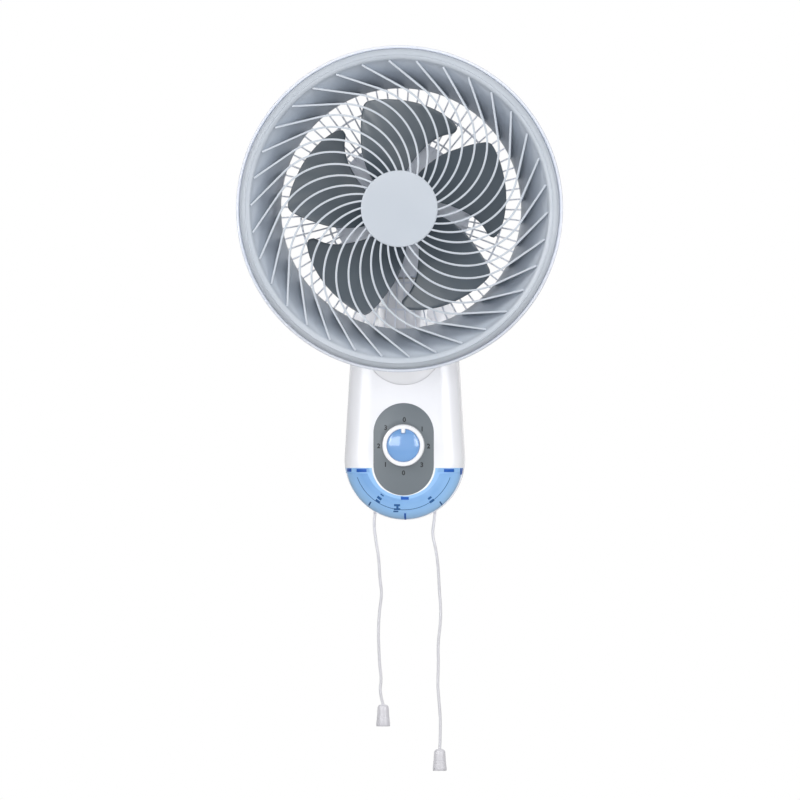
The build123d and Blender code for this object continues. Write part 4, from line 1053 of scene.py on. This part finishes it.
def dialPanel():
    width, height = baseShape["panel"]
    front = panelShape["front"]
    outline = slotOutline(0, baseShape["panelZ"], width - 0.1, height - 0.1, 48)
    piece = prism("dialPanel", outline, baseShape["seat"], front)
    bevelEdges(piece, 0.12, 2, 60)
    finish(piece, "panelGrey", "base", ("dial_panel",))
    numbers = []
    for digit, x, rise in panelShape["numbers"]:
        place = at(x, front, panelShape["numberZ"] + rise)
        bpy.ops.object.text_add(location=place, rotation=(math.pi / 2, 0, 0))
        text = bpy.context.object
        text.data.body = digit
        text.data.size = panelShape["numberSize"] * mm
        text.data.align_x, text.data.align_y = "CENTER", "CENTER"
        text.data.extrude = 0.03 * mm
        text.data.offset = 0.26 * mm
        selectOnly(text)
        bpy.ops.object.convert(target="MESH")
        numbers.append(placeAtOrigin("number"))
    piece = joinPieces("dialNumbers", numbers)
    finish(piece, "printBlack", "base")


knobShape = {
    "notchWidth": 4.4, "notchHeight": 5.0, "notchRise": 15.2,
    "domeRadius": 17.2, "domeOut": 80.9, "domeRise": 4.5,
}


def notchBlock(name, out, depth, gap):
    # a block where the knob's notch is, wider by a gap
    bpy.ops.mesh.primitive_cube_add(size=1, location=at(0, out, dialHeight + knobShape["notchRise"]))
    width, height = knobShape["notchWidth"] + gap, knobShape["notchHeight"] + gap
    bpy.context.object.scale = (width * mm, depth * mm, height * mm)
    return placeAtOrigin(name)


def knob():
    side = [(3, 68), (22.0, 66.9), (22.3, 67.4), (22.3, 68.5), (21.95, 79.9)]
    front = [(18.2, 82.3), (17.6, 81.9), (17.35, 81.2), (17.3, 78), (3, 78), (3, 68)]
    ring = dialTurned("ring", side + arc((20.3, 80.65), 1.65, 0, 90, 5) + front, 120)
    notch = notchBlock("notch", 80.3, 4.4, 0)
    bevelEdges(notch, 0.8, 3, 40)
    piece = joinPieces("knobRing", [ring, notch])
    finish(piece, "knobWhite", "knob", ("knob_ring",))
    radius, out, rise = knobShape["domeRadius"], knobShape["domeOut"], knobShape["domeRise"]
    angles = [math.radians(degrees) for degrees in range(90, -1, -6)]
    dome = [(radius * math.sin(angle), out + rise * math.cos(angle)) for angle in angles]
    cap = dialTurned("knobCap", [(0, 78)] + dome, 96)
    combine(cap, notchBlock("notchCutter", 84, 12, 0.3), "DIFFERENCE")
    finish(cap, "capBlue", "knob", ("knob_cap",))


dialPanel()
knob()
print("dial made")

# stage and light
def studioPoint(azimuth, elevation, distance, target):
    # azimuth turns to the right of straight in front, seen from the camera
    turn, lift = math.radians(azimuth), math.radians(elevation)
    towards = Vector((math.sin(turn) * math.cos(lift), -math.cos(turn) * math.cos(lift), math.sin(lift)))
    return Vector(target) + towards * distance


headSpot, baseSpot = (0, -0.18, 0.2), (0, -0.08, -0.05)
lights = {  # azimuth, elevation, distance, target, size, power, shown by
    "keyBox": (6, 38, 2.0, headSpot, (1.2, 0.9), 9, "all"),
    "leftBox": (-52, 14, 2.0, headSpot, (0.6, 0.9), 10, "all"),
    "rightBox": (48, 12, 2.0, headSpot, (0.5, 1.4), 10, "all"),
    "frontBox": (2, 2, 3.0, headSpot, (0.7, 0.7), 18.5, "diffuse"),
    "leftPanel": (-30, 10, 1.6, baseSpot, (1.3, 0.62), 13, "gloss"),
    "rightPanel": (48, 8, 1.6, baseSpot, (1.2, 0.66), 9, "gloss"),
}
# narrow beams that pass the head and light the base and the neck, which it would leave in shade
beams = {  # azimuth, elevation, distance, target, radius, power, softness
    "baseBeam": (9, -12, 2.5, (0, -0.08, -0.057), 0.111, 80, 0.025),
    "leftBeam": (-80, 6, 1.6, (0, -0.085, 0.13), 0.085, 55, 0.06),
    "rightBeam": (80, 6, 1.6, (0, -0.085, 0.13), 0.085, 62, 0.06),
}


def addLamp(kind, name, azimuth, elevation, distance, target, power):
    place = studioPoint(azimuth, elevation, distance, target)
    bpy.ops.object.light_add(type=kind, location=place)
    lamp = bpy.context.object
    lamp.name = name
    lamp.data.energy = power
    lamp.rotation_euler = (Vector(target) - place).to_track_quat("-Z", "Y").to_euler()
    return lamp


def addLights():
    for name, (azimuth, elevation, distance, target, size, power, shownBy) in lights.items():
        lamp = addLamp("AREA", name, azimuth, elevation, distance, target, power)
        lamp.data.shape = "RECTANGLE"
        lamp.data.size, lamp.data.size_y = size
        lamp.visible_diffuse = shownBy != "gloss"
        lamp.visible_glossy = shownBy != "diffuse"
    for name, (azimuth, elevation, distance, target, radius, power, softness) in beams.items():
        lamp = addLamp("SPOT", name, azimuth, elevation, distance, target, power)
        lamp.data.spot_size = 2 * math.atan(radius / distance)
        lamp.data.spot_blend = 0.2
        lamp.data.shadow_soft_size = softness
        lamp.visible_glossy = False


airFill = {"From Min": -0.5, "From Max": 0.6, "To Min": 0.03, "To Max": 0.38}  # by the height of the ray


def addWorld():
    # plain white where the camera, a reflection or clear plastic looks past the fan, softer as light
    world = bpy.data.worlds.new("studioAir")
    bpy.context.scene.world = world
    world.use_nodes = True
    tree = world.node_tree
    path = tree.nodes.new("ShaderNodeLightPath")
    total = path.outputs["Is Camera Ray"]
    for kind in ("Is Glossy Ray", "Is Transmission Ray"):
        most = tree.nodes.new("ShaderNodeMath")
        most.operation = "MAXIMUM"
        tree.links.new(total, most.inputs[0])
        tree.links.new(path.outputs[kind], most.inputs[1])
        total = most.outputs["Value"]
    # soft fill that comes more from above than from below
    direction = tree.nodes.new("ShaderNodeSeparateXYZ")
    tree.links.new(tree.nodes.new("ShaderNodeTexCoord").outputs["Generated"], direction.inputs["Vector"])
    fill = tree.nodes.new("ShaderNodeMapRange")
    for key, value in airFill.items():
        fill.inputs[key].default_value = value
    tree.links.new(direction.outputs["Z"], fill.inputs["Value"])
    level = tree.nodes.new("ShaderNodeMapRange")
    level.inputs["To Max"].default_value = 1.0
    tree.links.new(fill.outputs["Result"], level.inputs["To Min"])
    tree.links.new(total, level.inputs["Value"])
    background = tree.nodes["Background"]
    background.inputs["Color"].default_value = (1, 1, 1, 1)
    tree.links.new(level.outputs["Result"], background.inputs["Strength"])


floorShape = {"size": 8, "height": -0.8, "light": (0.64, 0.64, 0.64, 1), "dark": (0.6, 0.6, 0.61, 1)}


def addFloor():
    bpy.ops.mesh.primitive_plane_add(size=floorShape["size"], location=(0, 0, floorShape["height"]))
    floor = bpy.context.object
    floor.name = "studioFloor"
    pen = Nodes("floorPaint")
    tone = pen.blend(pen.rangeOf(pen.noise(3), 0, 1), floorShape["dark"], floorShape["light"])
    pen.join(tone, pen.shader.inputs["Base Color"])
    pen.fill(pen.shader, Roughness=0.9)
    floor.data.materials.append(pen.material)


addLights()
addWorld()
addFloor()
bpy.context.scene.view_settings.view_transform = "Standard"
print("stage lit")
